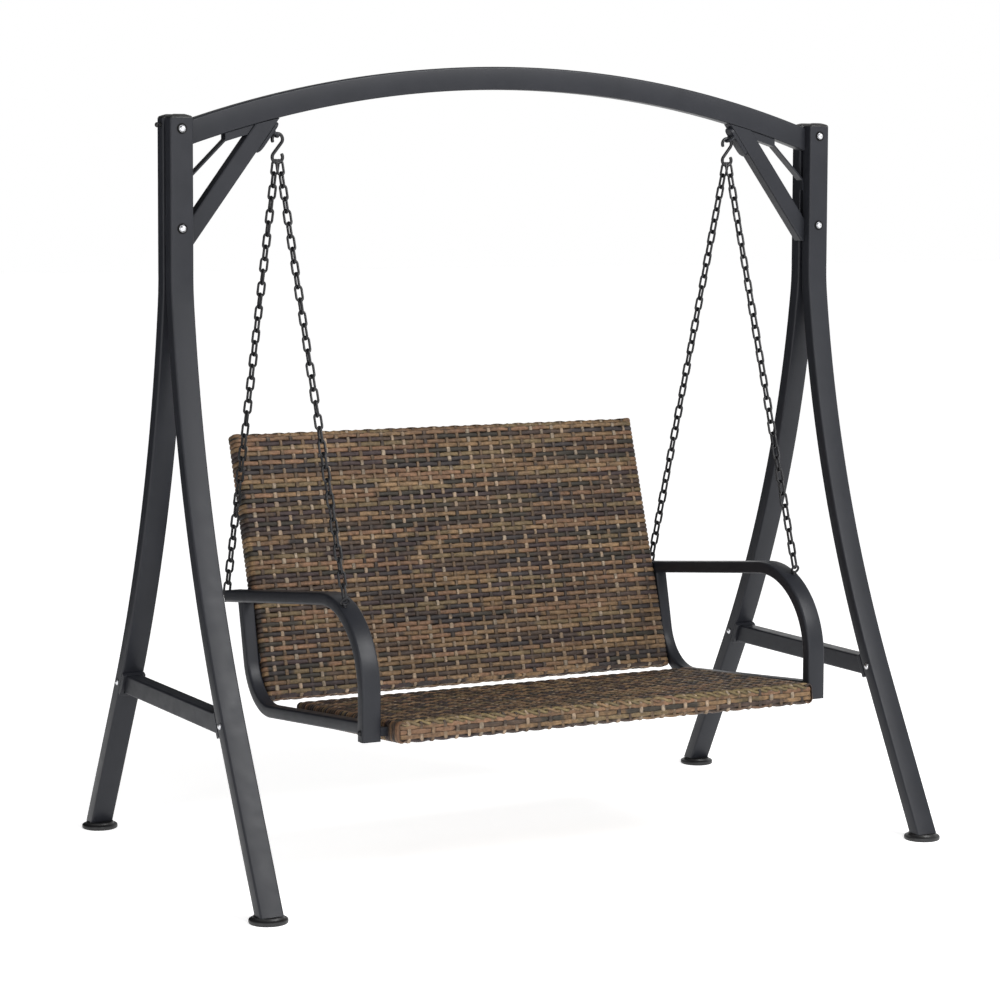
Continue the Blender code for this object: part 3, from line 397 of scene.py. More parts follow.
def add_lathe(shape, profile, matrix, steps=40):
    """Turned solid from (radius, height) points; a ring's last point is its first again."""
    turns = [2 * math.pi * i / steps for i in range(steps)]
    rings = {(r, height): [
        shape.verts.new(matrix @ Vector((r * math.cos(a), r * math.sin(a), height)))
        for a in (turns if r else turns[:1])] for r, height in dict.fromkeys(profile)}
    for start, stop in zip(profile, profile[1:]):
        first, second = rings[start], rings[stop]
        for i in range(steps):
            j = (i + 1) % steps
            corners = (first[i % len(first)], first[j % len(first)],
                       second[j % len(second)], second[i % len(second)])
            shape.faces.new(list(dict.fromkeys(corners)))


def facing(location, axis):
    return Matrix.Translation(location) @ Vector(axis).to_track_quat("Z", "Y").to_matrix().to_4x4()


def turned_piece(name, profile, place, axis, material, body, nodes=(), steps=40):
    shape = bmesh.new()
    add_lathe(shape, profile, facing(place, axis), steps)
    finished(name, shape, material, body, nodes)


# ---------------- stand
def leg_at(z):
    """Distance from the XZ plane of a leg's centreline at height z."""
    y, top, slope = LEG_TOP_Y, LEG_BEND_Z, 0.0
    if z >= top:
        return y
    for radius, steeper, _ in LEG_BENDS:
        bottom = top - radius * (math.sin(steeper) - math.sin(slope))
        if z >= bottom:
            here = math.asin(math.sin(slope) + (top - z) / radius)
            return y + radius * (math.cos(slope) - math.cos(here))
        y += radius * (math.cos(slope) - math.cos(steeper))
        top, slope = bottom, steeper
    return y + (top - z) * math.tan(slope)


def leg_heights():
    heights, top, slope = [LEG_TOP_Z, LEG_BEND_Z], LEG_BEND_Z, 0.0
    for radius, steeper, count in LEG_BENDS:
        for i in range(1, count + 1):
            here = slope + (steeper - slope) * i / count
            heights.append(top - radius * (math.sin(here) - math.sin(slope)))
        top, slope = heights[-1], steeper
    return heights + [FOOT_HEIGHT + GAP]


def make_legs():
    for corner, side, end in CORNERS:
        path = [(end * leg_at(z), z) for z in leg_heights()]
        tube_piece(f"leg_{corner}_tube", path, "X", side * LEG_X, (LEG_WIDTH, LEG_DEPTH),
                   LEG_CORNER, STAND, [f"leg_{corner}"], cuts=(None, Vector((0, 1, 0))))


def make_arch():
    """Arched beam, cut upright at the legs, with a flat tongue at each end."""
    radius = ARCH_RADIUS - ARCH_HEIGHT / 2
    reach = LEG_INNER_X - ARCH_END_GAP
    half = math.asin(reach / radius)
    path = arc((0, ARCH_CENTRE_Z), radius, math.pi / 2 + half, math.pi / 2 - half, 72)
    under = ARCH_CENTRE_Z + math.sqrt((ARCH_RADIUS - ARCH_HEIGHT) ** 2 - reach ** 2)
    low, high = under + 0.002, LEG_TOP_Z - 0.005

    def tongues(shape):
        for side in SIDES.values():
            centre = (side * (reach - TONGUE_OVERLAP + TONGUE_LENGTH / 2), 0, (low + high) / 2)
            size = (TONGUE_LENGTH + 0.001, LEG_SLOT - 0.001, high - low)
            add_box(shape, size, centre, TONGUE_CORNER)

    tube_piece("arch_tube", path, "Y", 0.0, (ARCH_DEPTH, ARCH_HEIGHT), LEG_CORNER, STAND,
               ["arch_beam"], cuts=(Vector((0, 0, 1)),) * 2, extra=tongues)


def make_feet():
    h, r = FOOT_HEIGHT, FOOT_RADIUS
    profile = [(0, h), (r * 0.72, h), (r * 0.76, h - 0.0006), (r * 0.79, h * 0.80),
               (r * 0.82, h * 0.70), (r * 0.94, h * 0.63), (r * 0.985, h * 0.54), (r, h * 0.42),
               (r, h * 0.14), (r * 0.985, h * 0.05), (r * 0.96, 0), (0, 0)]
    for corner, side, end in CORNERS:
        place = (side * LEG_X, end * (leg_at(FOOT_HEIGHT) - FOOT_INSET), 0)
        turned_piece(f"foot_{corner}_disc", profile, place, (0, 0, 1), PLASTIC, STAND,
                     [f"foot_{corner}"], 64)


def make_caps():
    """Low domed plastic caps on the legs' top ends."""
    half = LEG_WIDTH / 2
    for corner, side, end in CORNERS:
        shape = bmesh.new()
        rings = []
        for level, inset in enumerate(CAP_INSETS):
            rounding = 1 - (1 - min(inset / CAP_ROUNDING, 1.0)) ** 2 if level else 0.0
            outline = rounded_rectangle(LEG_WIDTH - 2 * inset, LEG_DEPTH - 2 * inset,
                                        max(LEG_CORNER - inset, CAP_LEAST_CORNER), 6)
            rings.append([shape.verts.new((
                side * LEG_X + u, end * LEG_TOP_Y + v,
                LEG_TOP_Z + GAP + (CAP_SKIRT + CAP_RISE * (1 - (u / half) ** 2)) * rounding))
                for u, v in outline])
        add_stack(shape, rings)
        finished(f"leg_cap_{corner}_dome", shape, PLASTIC, STAND, [f"leg_cap_{corner}"])


def make_side_knob():
    """Round-headed stud on the outer side of the left rear leg."""
    head = [(KNOB_RADIUS * math.cos(a), KNOB_MIDDLE + KNOB_ROUND * math.sin(a))
            for a in [math.radians(80 - 15 * i) for i in range(10)]]
    profile = [(0, KNOB_LENGTH)] + head + [(0.0040, 0.0050), (0.0040, 0.0018), (0.0055, 0.0014),
                                           (0.0055, 0), (0, 0)]
    place = (-LEG_X - LEG_WIDTH / 2 - GAP, KNOB_Y, KNOB_Z)
    turned_piece("side_knob_left_stud", profile, place, (-1, 0, 0), PLASTIC, STAND,
                 ["side_knob_left"])


def bolt_profile(shank, head_r, washer_r, height):
    """Domed bolt with its flange, from its crown to the end of its shank."""
    rim = 0.0016
    return ([(0, height)] + dome(head_r, rim, height - rim, 7)
            + [(head_r, 0.0013), (washer_r * 0.98, 0.0013), (washer_r, 0.0009), (washer_r, 0.0),
               (0.004, 0.0), (0.004, -shank), (0, -shank)])


def make_post_fasteners():
    screw = bolt_profile(0.095, 0.0078, 0.0086, 0.0066)
    washer = [(0.0045, 0.0011), (0.0122, 0.0011), (0.0125, 0.0008), (0.0125, 0), (0.0045, 0),
              (0.0045, 0.0011)]
    nut = ([(0, 0.0175)] + dome(0.0075, 0.0100, 0.0075, 8)
           + [(0.0078, 0.0092), (0.0088, 0.0088), (0.0088, 0.0016), (0.0120, 0.0014),
              (0.0122, 0.0008), (0.0122, 0.0), (0.0044, 0.0), (0.0044, 0.0110), (0, 0.0110)])
    face = LEG_OUTER_Y + GAP
    for side_name, side in SIDES.items():
        for level, z in POST_BOLT_Z.items():
            x = side * LEG_X
            bolt, cap = f"post_bolt_{level}_{side_name}", f"post_nut_{level}_{side_name}"
            turned_piece(bolt + "_screw", screw, (x, -face - WASHER_THICK, z), (0, -1, 0), ZINC,
                         STAND, [bolt])
            # The near-black washer disc is partly painted shade for the recess round the bolt head.
            turned_piece(bolt + "_washer", washer, (x, -face, z), (0, -1, 0), BLACK_WASHER_SHADE, STAND)
            turned_piece(cap + "_cap", nut, (x, face, z), (0, 1, 0), PLASTIC, STAND, [cap])


def make_crossbar_bolts():
    half = LEG_WIDTH / 2 + GAP
    head = dome(0.0072, half + 0.0010, 0.0035, 6) + [(0.0080, half + 0.0008), (0.0080, half)]
    profile = ([(0, half + 0.0045)] + head + [(0.004, half), (0.004, -half)]
               + [(r, -t) for r, t in reversed(head)] + [(0, -half - 0.0045)])
    for corner, side, end in CORNERS:
        place = (side * LEG_X, end * leg_at(BAR_BOLT_Z), BAR_BOLT_Z)
        name = f"crossbar_bolt_{corner}"
        turned_piece(name + "_rivet", profile, place, (side, 0, 0), ZINC, STAND, [name])


def make_eye_plates():
    """Rounded pad under the brace with its welded wire eye."""
    length = math.hypot(1.0, BRACE_SLOPE)
    across = Vector((0, 1, 0))
    half, end_radius = (PLATE_LENGTH - PLATE_WIDTH) / 2, PLATE_WIDTH / 2
    outline = (arc((half, 0), end_radius, -math.pi / 2, math.pi / 2, 20)
               + arc((-half, 0), end_radius, math.pi / 2, 1.5 * math.pi, 20))
    levels = ((0, 0), (0, 0.82), (0.0004, 0.94), (0.0014, 1.0))
    bead = [(0, -0.001), (0.0052, -0.001), (0.0052, 0), (0.0050, 0.0010), (0.0042, 0.0022),
            (0.0036, 0.0034), (0, 0.0034)]
    for side_name, side in SIDES.items():
        along = Vector((-side, 0, BRACE_SLOPE)) / length
        out = Vector((-side * BRACE_SLOPE, 0, -1.0)) / length
        apex = Vector((side * HINGE.x, 0, HINGE.z - 2 * WIRE_R - GAP))
        level = (BRACE_LEG_Z - apex.z) / BRACE_SLOPE + LEG_INNER_X - HINGE.x
        foot = apex - out * (level * BRACE_SLOPE / length - BRACE_HEIGHT / 2 - GAP)
        shape = bmesh.new()
        rings = []
        for inset, height in levels:
            scale = 1 - inset / end_radius
            rings.append([shape.verts.new(foot + along * (u * scale - PLATE_DROP)
                                          + across * (v * scale) + out * (PLATE_THICK * height))
                          for u, v in outline])
        add_stack(shape, rings)
        arch = [apex - out * EYE_SPREAD + across * (EYE_SPREAD * math.cos(a))
                + out * (EYE_SPREAD * math.sin(a)) for a in [math.pi * i / 20 for i in range(21)]]
        base = foot + out * (PLATE_THICK * 0.6)
        add_wire(shape, [base + across * EYE_SPREAD, *arch, base - across * EYE_SPREAD], WIRE_R)
        for sign in (1, -1):
            weld = foot + out * PLATE_THICK + across * (sign * EYE_SPREAD)
            add_lathe(shape, bead, facing(weld, out), 24)
        name = f"eye_plate_{side_name}"
        finished(name + "_pad", shape, STEEL, STAND, [name])


# ---------------- hooks and chains
def hook_points():
    r, d = HOOK_RADIUS, HOOK_SPACING
    cross = math.acos(2 * r / d)
    first = arc((0.0, -r), r, math.radians(205), -math.pi / 2 + cross, 18)
    second = arc((0.0, -r - d), r, math.pi / 2 + cross, math.radians(390), 18)
    return first + second


def arm_path():
    start = math.pi / 2 - ARM_PITCH
    bend = arc((ARM_BEND_Y, ARM_BEND_Z), ARM_RADIUS, start, math.pi, 36)
    run = (ARM_REAR_Y - bend[0][0]) / math.cos(ARM_PITCH)
    rear = (ARM_REAR_Y, bend[0][1] - run * math.sin(ARM_PITCH))
    return [rear] + bend + [(ARM_BEND_Y - ARM_RADIUS, POST_BOTTOM_Z)]


def arm_eye(side, end):
    """Centre of an armrest's ring, and the direction of its shank."""
    x = side * CHAIN_EYE_X
    if end == ENDS["front"]:
        out = Vector((0, -math.sin(FRONT_EYE_TURN), math.cos(FRONT_EYE_TURN)))
        lift = ARM_DEPTH / 2 + RING_RADIUS + RING_WIRE + RING_STEM
        return Vector((x, ARM_BEND_Y, ARM_BEND_Z)) + out * (ARM_RADIUS + lift), out
    out = Vector((0, math.cos(ARM_PITCH), -math.sin(ARM_PITCH)))
    return Vector((x, *arm_path()[0])) + out * (RING_RADIUS + RING_WIRE + REAR_RING_STEM), out


def make_hooks():
    for side_name, side in SIDES.items():
        shape = bmesh.new()
        add_wire(shape, [(side * HINGE.x + u, 0, HINGE.z + v) for u, v in hook_points()],
                 HOOK_WIRE_R, 18)
        name = f"s_hook_{side_name}"
        finished(name + "_wire", shape, HARDWARE, SWING, [name])


def make_eye_bolts():
    """Welded ring on a collared shank, with the nut under the front armrest."""
    collar = [(0, 0), (0.0068, 0), (0.0070, 0.0004), (0.0070, 0.0020), (0.0064, COLLAR_HEIGHT),
              (0, COLLAR_HEIGHT)]
    nut = [(0, 0), (0.0070, 0), (0.0073, 0.0006), (0.0073, 0.0056), (0.0068, 0.0062),
           (0, 0.0062)]
    for corner, side, end in CORNERS:
        front = end == ENDS["front"]
        centre, out = arm_eye(side, end)
        other = Vector((1, 0, 0))
        if not front:
            other = other.cross(out)
        shape = bmesh.new()
        ring = [centre + (out * math.cos(a) + other * math.sin(a)) * RING_RADIUS
                for a in [2 * math.pi * i / 32 for i in range(32)]]
        add_wire(shape, ring, RING_WIRE, closed=True)
        surface = centre - out * (RING_RADIUS + RING_WIRE + RING_STEM - GAP)
        inside = ARM_DEPTH + SHANK_PAST_ARM if front else REAR_SHANK
        add_wire(shape, [centre - out * (RING_RADIUS - 0.0005), surface - out * inside], WIRE_R, 16)
        add_lathe(shape, collar, facing(surface, out), 32)
        if front:
            add_lathe(shape, nut, facing(surface - out * (ARM_DEPTH + 0.0004), -out), 6)
        name = f"eye_bolt_{corner}"
        finished(name + "_ring", shape, HARDWARE, SWING, [name])


def link_points(inner_length):
    """Stadium centreline of one chain link, along its own x axis."""
    bend = (LINK_WIDTH - 2 * LINK_WIRE_R) / 2
    straight = (inner_length + 2 * LINK_WIRE_R) / 2 - bend
    right = arc((straight, 0), bend, -math.pi / 2, math.pi / 2, 9)
    left = arc((-straight, 0), bend, math.pi / 2, 1.5 * math.pi, 9)
    return right + left


def make_chains():
    """Welded oval links, each turned a quarter from its neighbours."""
    rng = random.Random(11)
    hook_bottom = HINGE.z - 2 * HOOK_RADIUS - HOOK_SPACING
    for corner, side, end in CORNERS:
        top = Vector((side * HINGE.x - end * CHAIN_SIDE_STEP, 0,
                      hook_bottom + WIRE_R + LINK_WIRE_R))
        centre, _ = arm_eye(side, end)
        low = centre + (top - centre).normalized() * (RING_RADIUS - RING_WIRE - LINK_WIRE_R)
        count = CHAIN_LINKS[end]
        run = (low - top).normalized()
        pitch = ((low - top).length - 2 * LINK_WIRE_R) / count
        flat = run.cross(Vector((1, 0, 0))).normalized()
        shape = bmesh.new()
        for i in range(count):
            middle = top + run * (LINK_WIRE_R + pitch * (i + 0.5))
            wide = flat if i % 2 else flat.cross(run)
            if 1 < i < count - 2:
                wide = Matrix.Rotation(rng.uniform(-LINK_SLACK, LINK_SLACK), 3, run) @ wide
            points = [middle + run * u + wide * v for u, v in link_points(pitch)]
            add_wire(shape, points, LINK_WIRE_R, 10, closed=True)
        name = f"chain_{corner}"
        finished(name + "_links", shape, HARDWARE, SWING, [name], angle=60)


# ---------------- bench side tubes
def side_path():
    """Side tube's centreline: upright under the armrest, bend, and rail to the front post."""
    up = Vector((math.sin(SIDE_LEAN), math.cos(SIDE_LEAN)))
    forward = Vector((-math.cos(RAIL_PITCH), math.sin(RAIL_PITCH)))
    cross = up.x * forward.y - up.y * forward.x
    offset = RAIL_FRONT - SIDE_TOP
    corner = SIDE_TOP + up * ((offset.x * forward.y - offset.y * forward.x) / cross)
    turn = math.pi - up.angle(forward)
    reach = SIDE_RADIUS * math.tan(turn / 2)
    centre = corner + (up + forward).normalized() * (SIDE_RADIUS / math.cos(turn / 2))
    first = corner + up * reach - centre
    begin = math.atan2(first.y, first.x)
    bend = arc(centre, SIDE_RADIUS, begin, begin - turn, 30)
    rear_y, rear_z = arm_path()[0]
    under = rear_z - (ARM_DEPTH / 2 + GAP) / math.cos(ARM_PITCH)
    lift = under + (rear_y - SIDE_TOP.x) * math.tan(ARM_PITCH) - SIDE_TOP.y
    top = SIDE_TOP + up * (lift / (up.y + up.x * math.tan(ARM_PITCH)))
    post_y = ARM_BEND_Y - ARM_RADIUS + ARM_DEPTH / 2 + GAP
    front = RAIL_FRONT + forward * ((RAIL_FRONT.x - post_y) / math.cos(RAIL_PITCH))
    return [tuple(top)] + bend + [tuple(front)]


def make_arms():
    arm_cut = Vector((0, math.cos(ARM_PITCH), -math.sin(ARM_PITCH)))
    screw = bolt_profile(ARM_WIDTH + 0.018, 0.0062, 0.0078, 0.0052)
    for side_name, side in SIDES.items():
        arm, frame_side, bolt = (f"{part}_{side_name}"
                                 for part in ("arm", "side_frame", "seat_bolt"))
        tube_piece(arm + "_tube", arm_path(), "X", side * ARM_X, (ARM_WIDTH, ARM_DEPTH),
                   ARM_CORNER, SWING, [arm])
        tube_piece(frame_side + "_tube", side_path(), "X", side * SIDE_X,
                   (SIDE_WIDTH, ARM_DEPTH), ARM_CORNER, SWING, [frame_side],
                   cuts=(arm_cut, Vector((0, 0, 1))))
        place = (side * (ARM_INNER_X + ARM_WIDTH + GAP), ARM_BEND_Y - ARM_RADIUS, SEAT_BOLT_Z)
        turned_piece(bolt + "_screw", screw, place, (side, 0, 0), HARDWARE, SWING, [bolt])


# ---------------- woven panels
PANEL_CORNER = 0.0095
ROW_PITCH, ROW_WIDTH, ROW_HEIGHT, ROW_WAVE = 0.0122, 0.0124, 0.0031, 0.0017
ROW_JITTER, ROW_FADE, ROW_FACE_MARGIN, CREST_FLATNESS = 0.0004, 0.012, 0.002, 0.28
STAKE_WIDTHS, STAKE_HEIGHT, STAKE_WAVE = (0.0112, 0.0096), 0.0026, 0.0013
STAKE_COUNT, STAKE_MARGIN, STAKE_JITTER, STAKE_FADE = 36, 0.015, 0.0008, 0.010
EDGE_ROWS, EDGE_INSET, TUCK_LENGTH, TUCK_DEPTH = 5, 0.0045, 0.012, 0.0022
WRAP_INSETS, WRAP_LEANS, WRAP_WIDTH = (0.0062, 0.0150), (0.30, 0.0), 0.9 * ROW_WIDTH
WRAP_END, WRAP_END_DROP = 0.010, 0.004
BRAID_TWIST, BRAID_WIDTH, BRAID_HEIGHT, BRAID_STEP = 0.056, 0.0096, 0.0042, 0.0035
BRAID_INSET, BRAID_END, BRAID_SIDE_SWAY, BRAID_OUT_SWAY = 0.0085, 0.012, 0.0052, 0.0024
BRAID_LEAN = math.radians(135)
U_AXIS, V_AXIS = np.array((1.0, 0.0, 0.0)), np.array((0.0, 1.0, 0.0))

# Slow random drifts along a strand: how much, and how far apart its turning points are.
ROW_DRIFT, ROW_SWELL, ROW_ROLL = (0.0007, 0.030), (0.09, 0.022), (0.17, 0.026)
STAKE_DRIFT, STAKE_SWELL, STAKE_ROLL = (0.0012, 0.040), (0.14, 0.020), (0.15, 0.026)

# Colour: the lengths of its stretches, and how many of them are of the other family.
LONG_PATCH, SHORT_PATCH, BLEND_LENGTH, SHADES = (0.05, 0.24), (0.014, 0.045), 0.010, (0.80, 1.20)
TAN_SHARE, SECOND_CHANGE, THIRD_CHANGE = 0.48, 0.35, 0.85
ROW_SWITCH, EDGE_SWITCH, WRAP_SWITCH, BRAID_SWITCH = 0.14, 0.18, 0.3, 0.25
STAKE_LIGHT_SHARES, EDGE_TAN_SHARES = (0.50, 0.28), (0.75, 0.35, 0.35, 0.75, 0.35)
RUN_STARTS = (0, 40)
TANS = ((0.138, 0.084, 0.042), (0.160, 0.100, 0.052), (0.121, 0.070, 0.038),
        (0.108, 0.075, 0.038), (0.141, 0.078, 0.044))
DARKS = ((0.033, 0.021, 0.020), (0.026, 0.021, 0.015), (0.039, 0.025, 0.019),
         (0.028, 0.022, 0.021), (0.048, 0.031, 0.021))
STAKES_LIGHT = ((0.226, 0.164, 0.112), (0.176, 0.124, 0.080), (0.205, 0.160, 0.115))
STAKES_BROWN = ((0.090, 0.058, 0.034), (0.056, 0.037, 0.025), (0.112, 0.072, 0.042),
                (0.038, 0.027, 0.021))
BRAID_TANS = ((0.138, 0.100, 0.045), (0.118, 0.088, 0.043), (0.152, 0.108, 0.054))
STRAND_PROFILE = np.array([(-0.5, 0.0), (-0.46, 0.42), (-0.30, 0.80), (0.0, 1.0),
                           (0.30, 0.80), (0.46, 0.42), (0.5, 0.0)])


def run_lengths(path):
    """Distance along a path at each of its points."""
    return np.concatenate([[0.0], np.cumsum(np.linalg.norm(np.diff(path, axis=0), axis=1))])


class StrandSet:
    """Gathers many strands into one mesh with colour and run attributes."""

    def __init__(self):
        self.points, self.faces, self.caps, self.tones, self.runs = [], [], [], [], []
        self.count = 0

    def add(self, centres, across, normals, width, height, tones, run_start, closed=False,
            roll=0.0):
        """Half-round strand along centres; across and normals are unit vectors."""
        width = np.reshape(width, (-1, 1, 1))
        roll = np.reshape(roll, (-1, 1))
        across, normals = (across * np.cos(roll) + normals * np.sin(roll),
                           normals * np.cos(roll) - across * np.sin(roll))
        aside, high = STRAND_PROFILE.T
        stations, sides = len(centres), len(STRAND_PROFILE)
        points = (centres[:, None, :] + across[:, None, :] * (aside[None, :, None] * width)
                  + normals[:, None, :] * (high[None, :, None] * height))
        runs = np.zeros((stations, sides, 3))
        runs[:, :, 0] = (run_start + run_lengths(centres))[:, None]
        runs[:, :, 1] = aside[None, :] * width[:, :, 0]
        runs[:, :, 2] = 2 * aside[None, :]
        self.points.append(points.reshape(-1, 3))
        self.runs.append(runs.reshape(-1, 3))
        self.tones.append(np.repeat(tones, sides, axis=0))
        index = self.count + np.arange(stations * sides).reshape(stations, sides)
        here = index if closed else index[:-1]
        ahead = np.roll(index, -1, axis=0) if closed else index[1:]
        quads = np.stack([here, np.roll(here, -1, axis=1), np.roll(ahead, -1, axis=1), ahead],
                         axis=-1)
        self.faces.append(quads.reshape(-1, 4))
        if not closed:
            self.caps += [index[0][::-1].tolist(), index[-1].tolist()]
        self.count += stations * sides

    def build(self, name, matrix, nodes):
        world = np.array(matrix)
        points = np.concatenate(self.points) @ world[:3, :3].T + world[:3, 3]
        mesh = bpy.data.meshes.new(name)
        mesh.from_pydata(points.tolist(), [], np.concatenate(self.faces).tolist() + self.caps)
        tone = mesh.attributes.new("strand_tone", "FLOAT_COLOR", "POINT")
        colors = np.ones((len(points), 4), np.float32)
        colors[:, :3] = np.concatenate(self.tones)
        tone.data.foreach_set("color", colors.ravel())
        run = mesh.attributes.new("strand_run", "FLOAT_VECTOR", "POINT")
        run.data.foreach_set("vector", np.concatenate(self.runs).astype(np.float32).ravel())
        mesh.update()
        add_piece(name, mesh, RATTAN, SWING, nodes, angle=50)


def strand_tones(rng, positions, base, other, switch, patch=LONG_PATCH):
    """Colour along a strand: mostly one family, with stretches of the other."""
    at = positions[0] - rng.uniform(0, patch[1])
    tones = None
    while at < positions[-1]:
        family = other if rng.random() < switch else base
        shade = np.array(rng.choice(family)) * rng.uniform(*SHADES)
        blend = np.clip((positions - at) / BLEND_LENGTH, 0, 1)[:, None]
        if tones is None:
            tones = np.tile(shade, (len(positions), 1))
        else:
            tones = tones * (1 - blend) + shade * blend
        at += rng.uniform(*patch)
    return tones


def plain_tones(rng, positions, tan, switch):
    """Colour along a strand of the tan or the dark family."""
    families = (TANS, DARKS) if tan else (DARKS, TANS)
    return strand_tones(rng, positions, *families, switch)


def wander(rng, lengths, amount, step):
    """Smooth random drift along a strand that returns to its first value."""
    knots = [rng.uniform(-amount, amount) for _ in range(int(lengths[-1] / step) + 2)]
    knots[-1] = knots[0]
    return np.interp(lengths, np.linspace(0, lengths[-1], len(knots)), knots)


def wave(u, pitch, parity):
    """Over-and-under profile with flattened crests, +1 over and -1 under a stake."""
    s = np.cos(math.pi * u / pitch) * (1 if parity % 2 == 0 else -1)
    return s * (1 + CREST_FLATNESS - CREST_FLATNESS * s * s)


def row_families(rng, count):
    """True for a tan row and False for a dark one, rarely alike three times running."""
    rows = []
    for _ in range(count):
        tan = rng.random() < TAN_SHARE
        if rows and rows[-1] == tan and rng.random() < SECOND_CHANGE:
            tan = not tan
        if len(rows) > 1 and rows[-1] == rows[-2] == tan and rng.random() < THIRD_CHANGE:
            tan = not tan
        rows.append(tan)
    return rows


def centred(half, step, slack=0.0001):
    """Stations a step apart, centred between -half and half."""
    stations = np.arange(-half, half + slack, step)
    return stations + (half - stations[-1]) / 2


def side_bend(straight, base, turn, swing=0.0):
    """Path and outward directions of a strand over one side of a panel."""
    out = np.stack([np.cos(turn), np.sin(turn)], axis=1)
    start = np.stack([np.full(len(turn), straight),
                      np.sign(out[:, 1]) * (base - PANEL_CORNER)], axis=1)
    return start + np.reshape(PANEL_CORNER + swing, (-1, 1)) * out, out


def round_panel(along, height, bend, out):
    """Centres and outward normals of a strand that runs right round a panel."""
    top = np.stack([along, height], axis=1)
    slope = np.gradient(height, along)
    up = np.stack([-slope, np.ones_like(slope)], axis=1)
    up /= np.linalg.norm(up, axis=1, keepdims=True)
    return np.concatenate([top, bend, -top, -bend]), np.concatenate([up, out, -up, -out])


def half_turn(count):
    return np.linspace(math.pi / 2, -math.pi / 2, count)


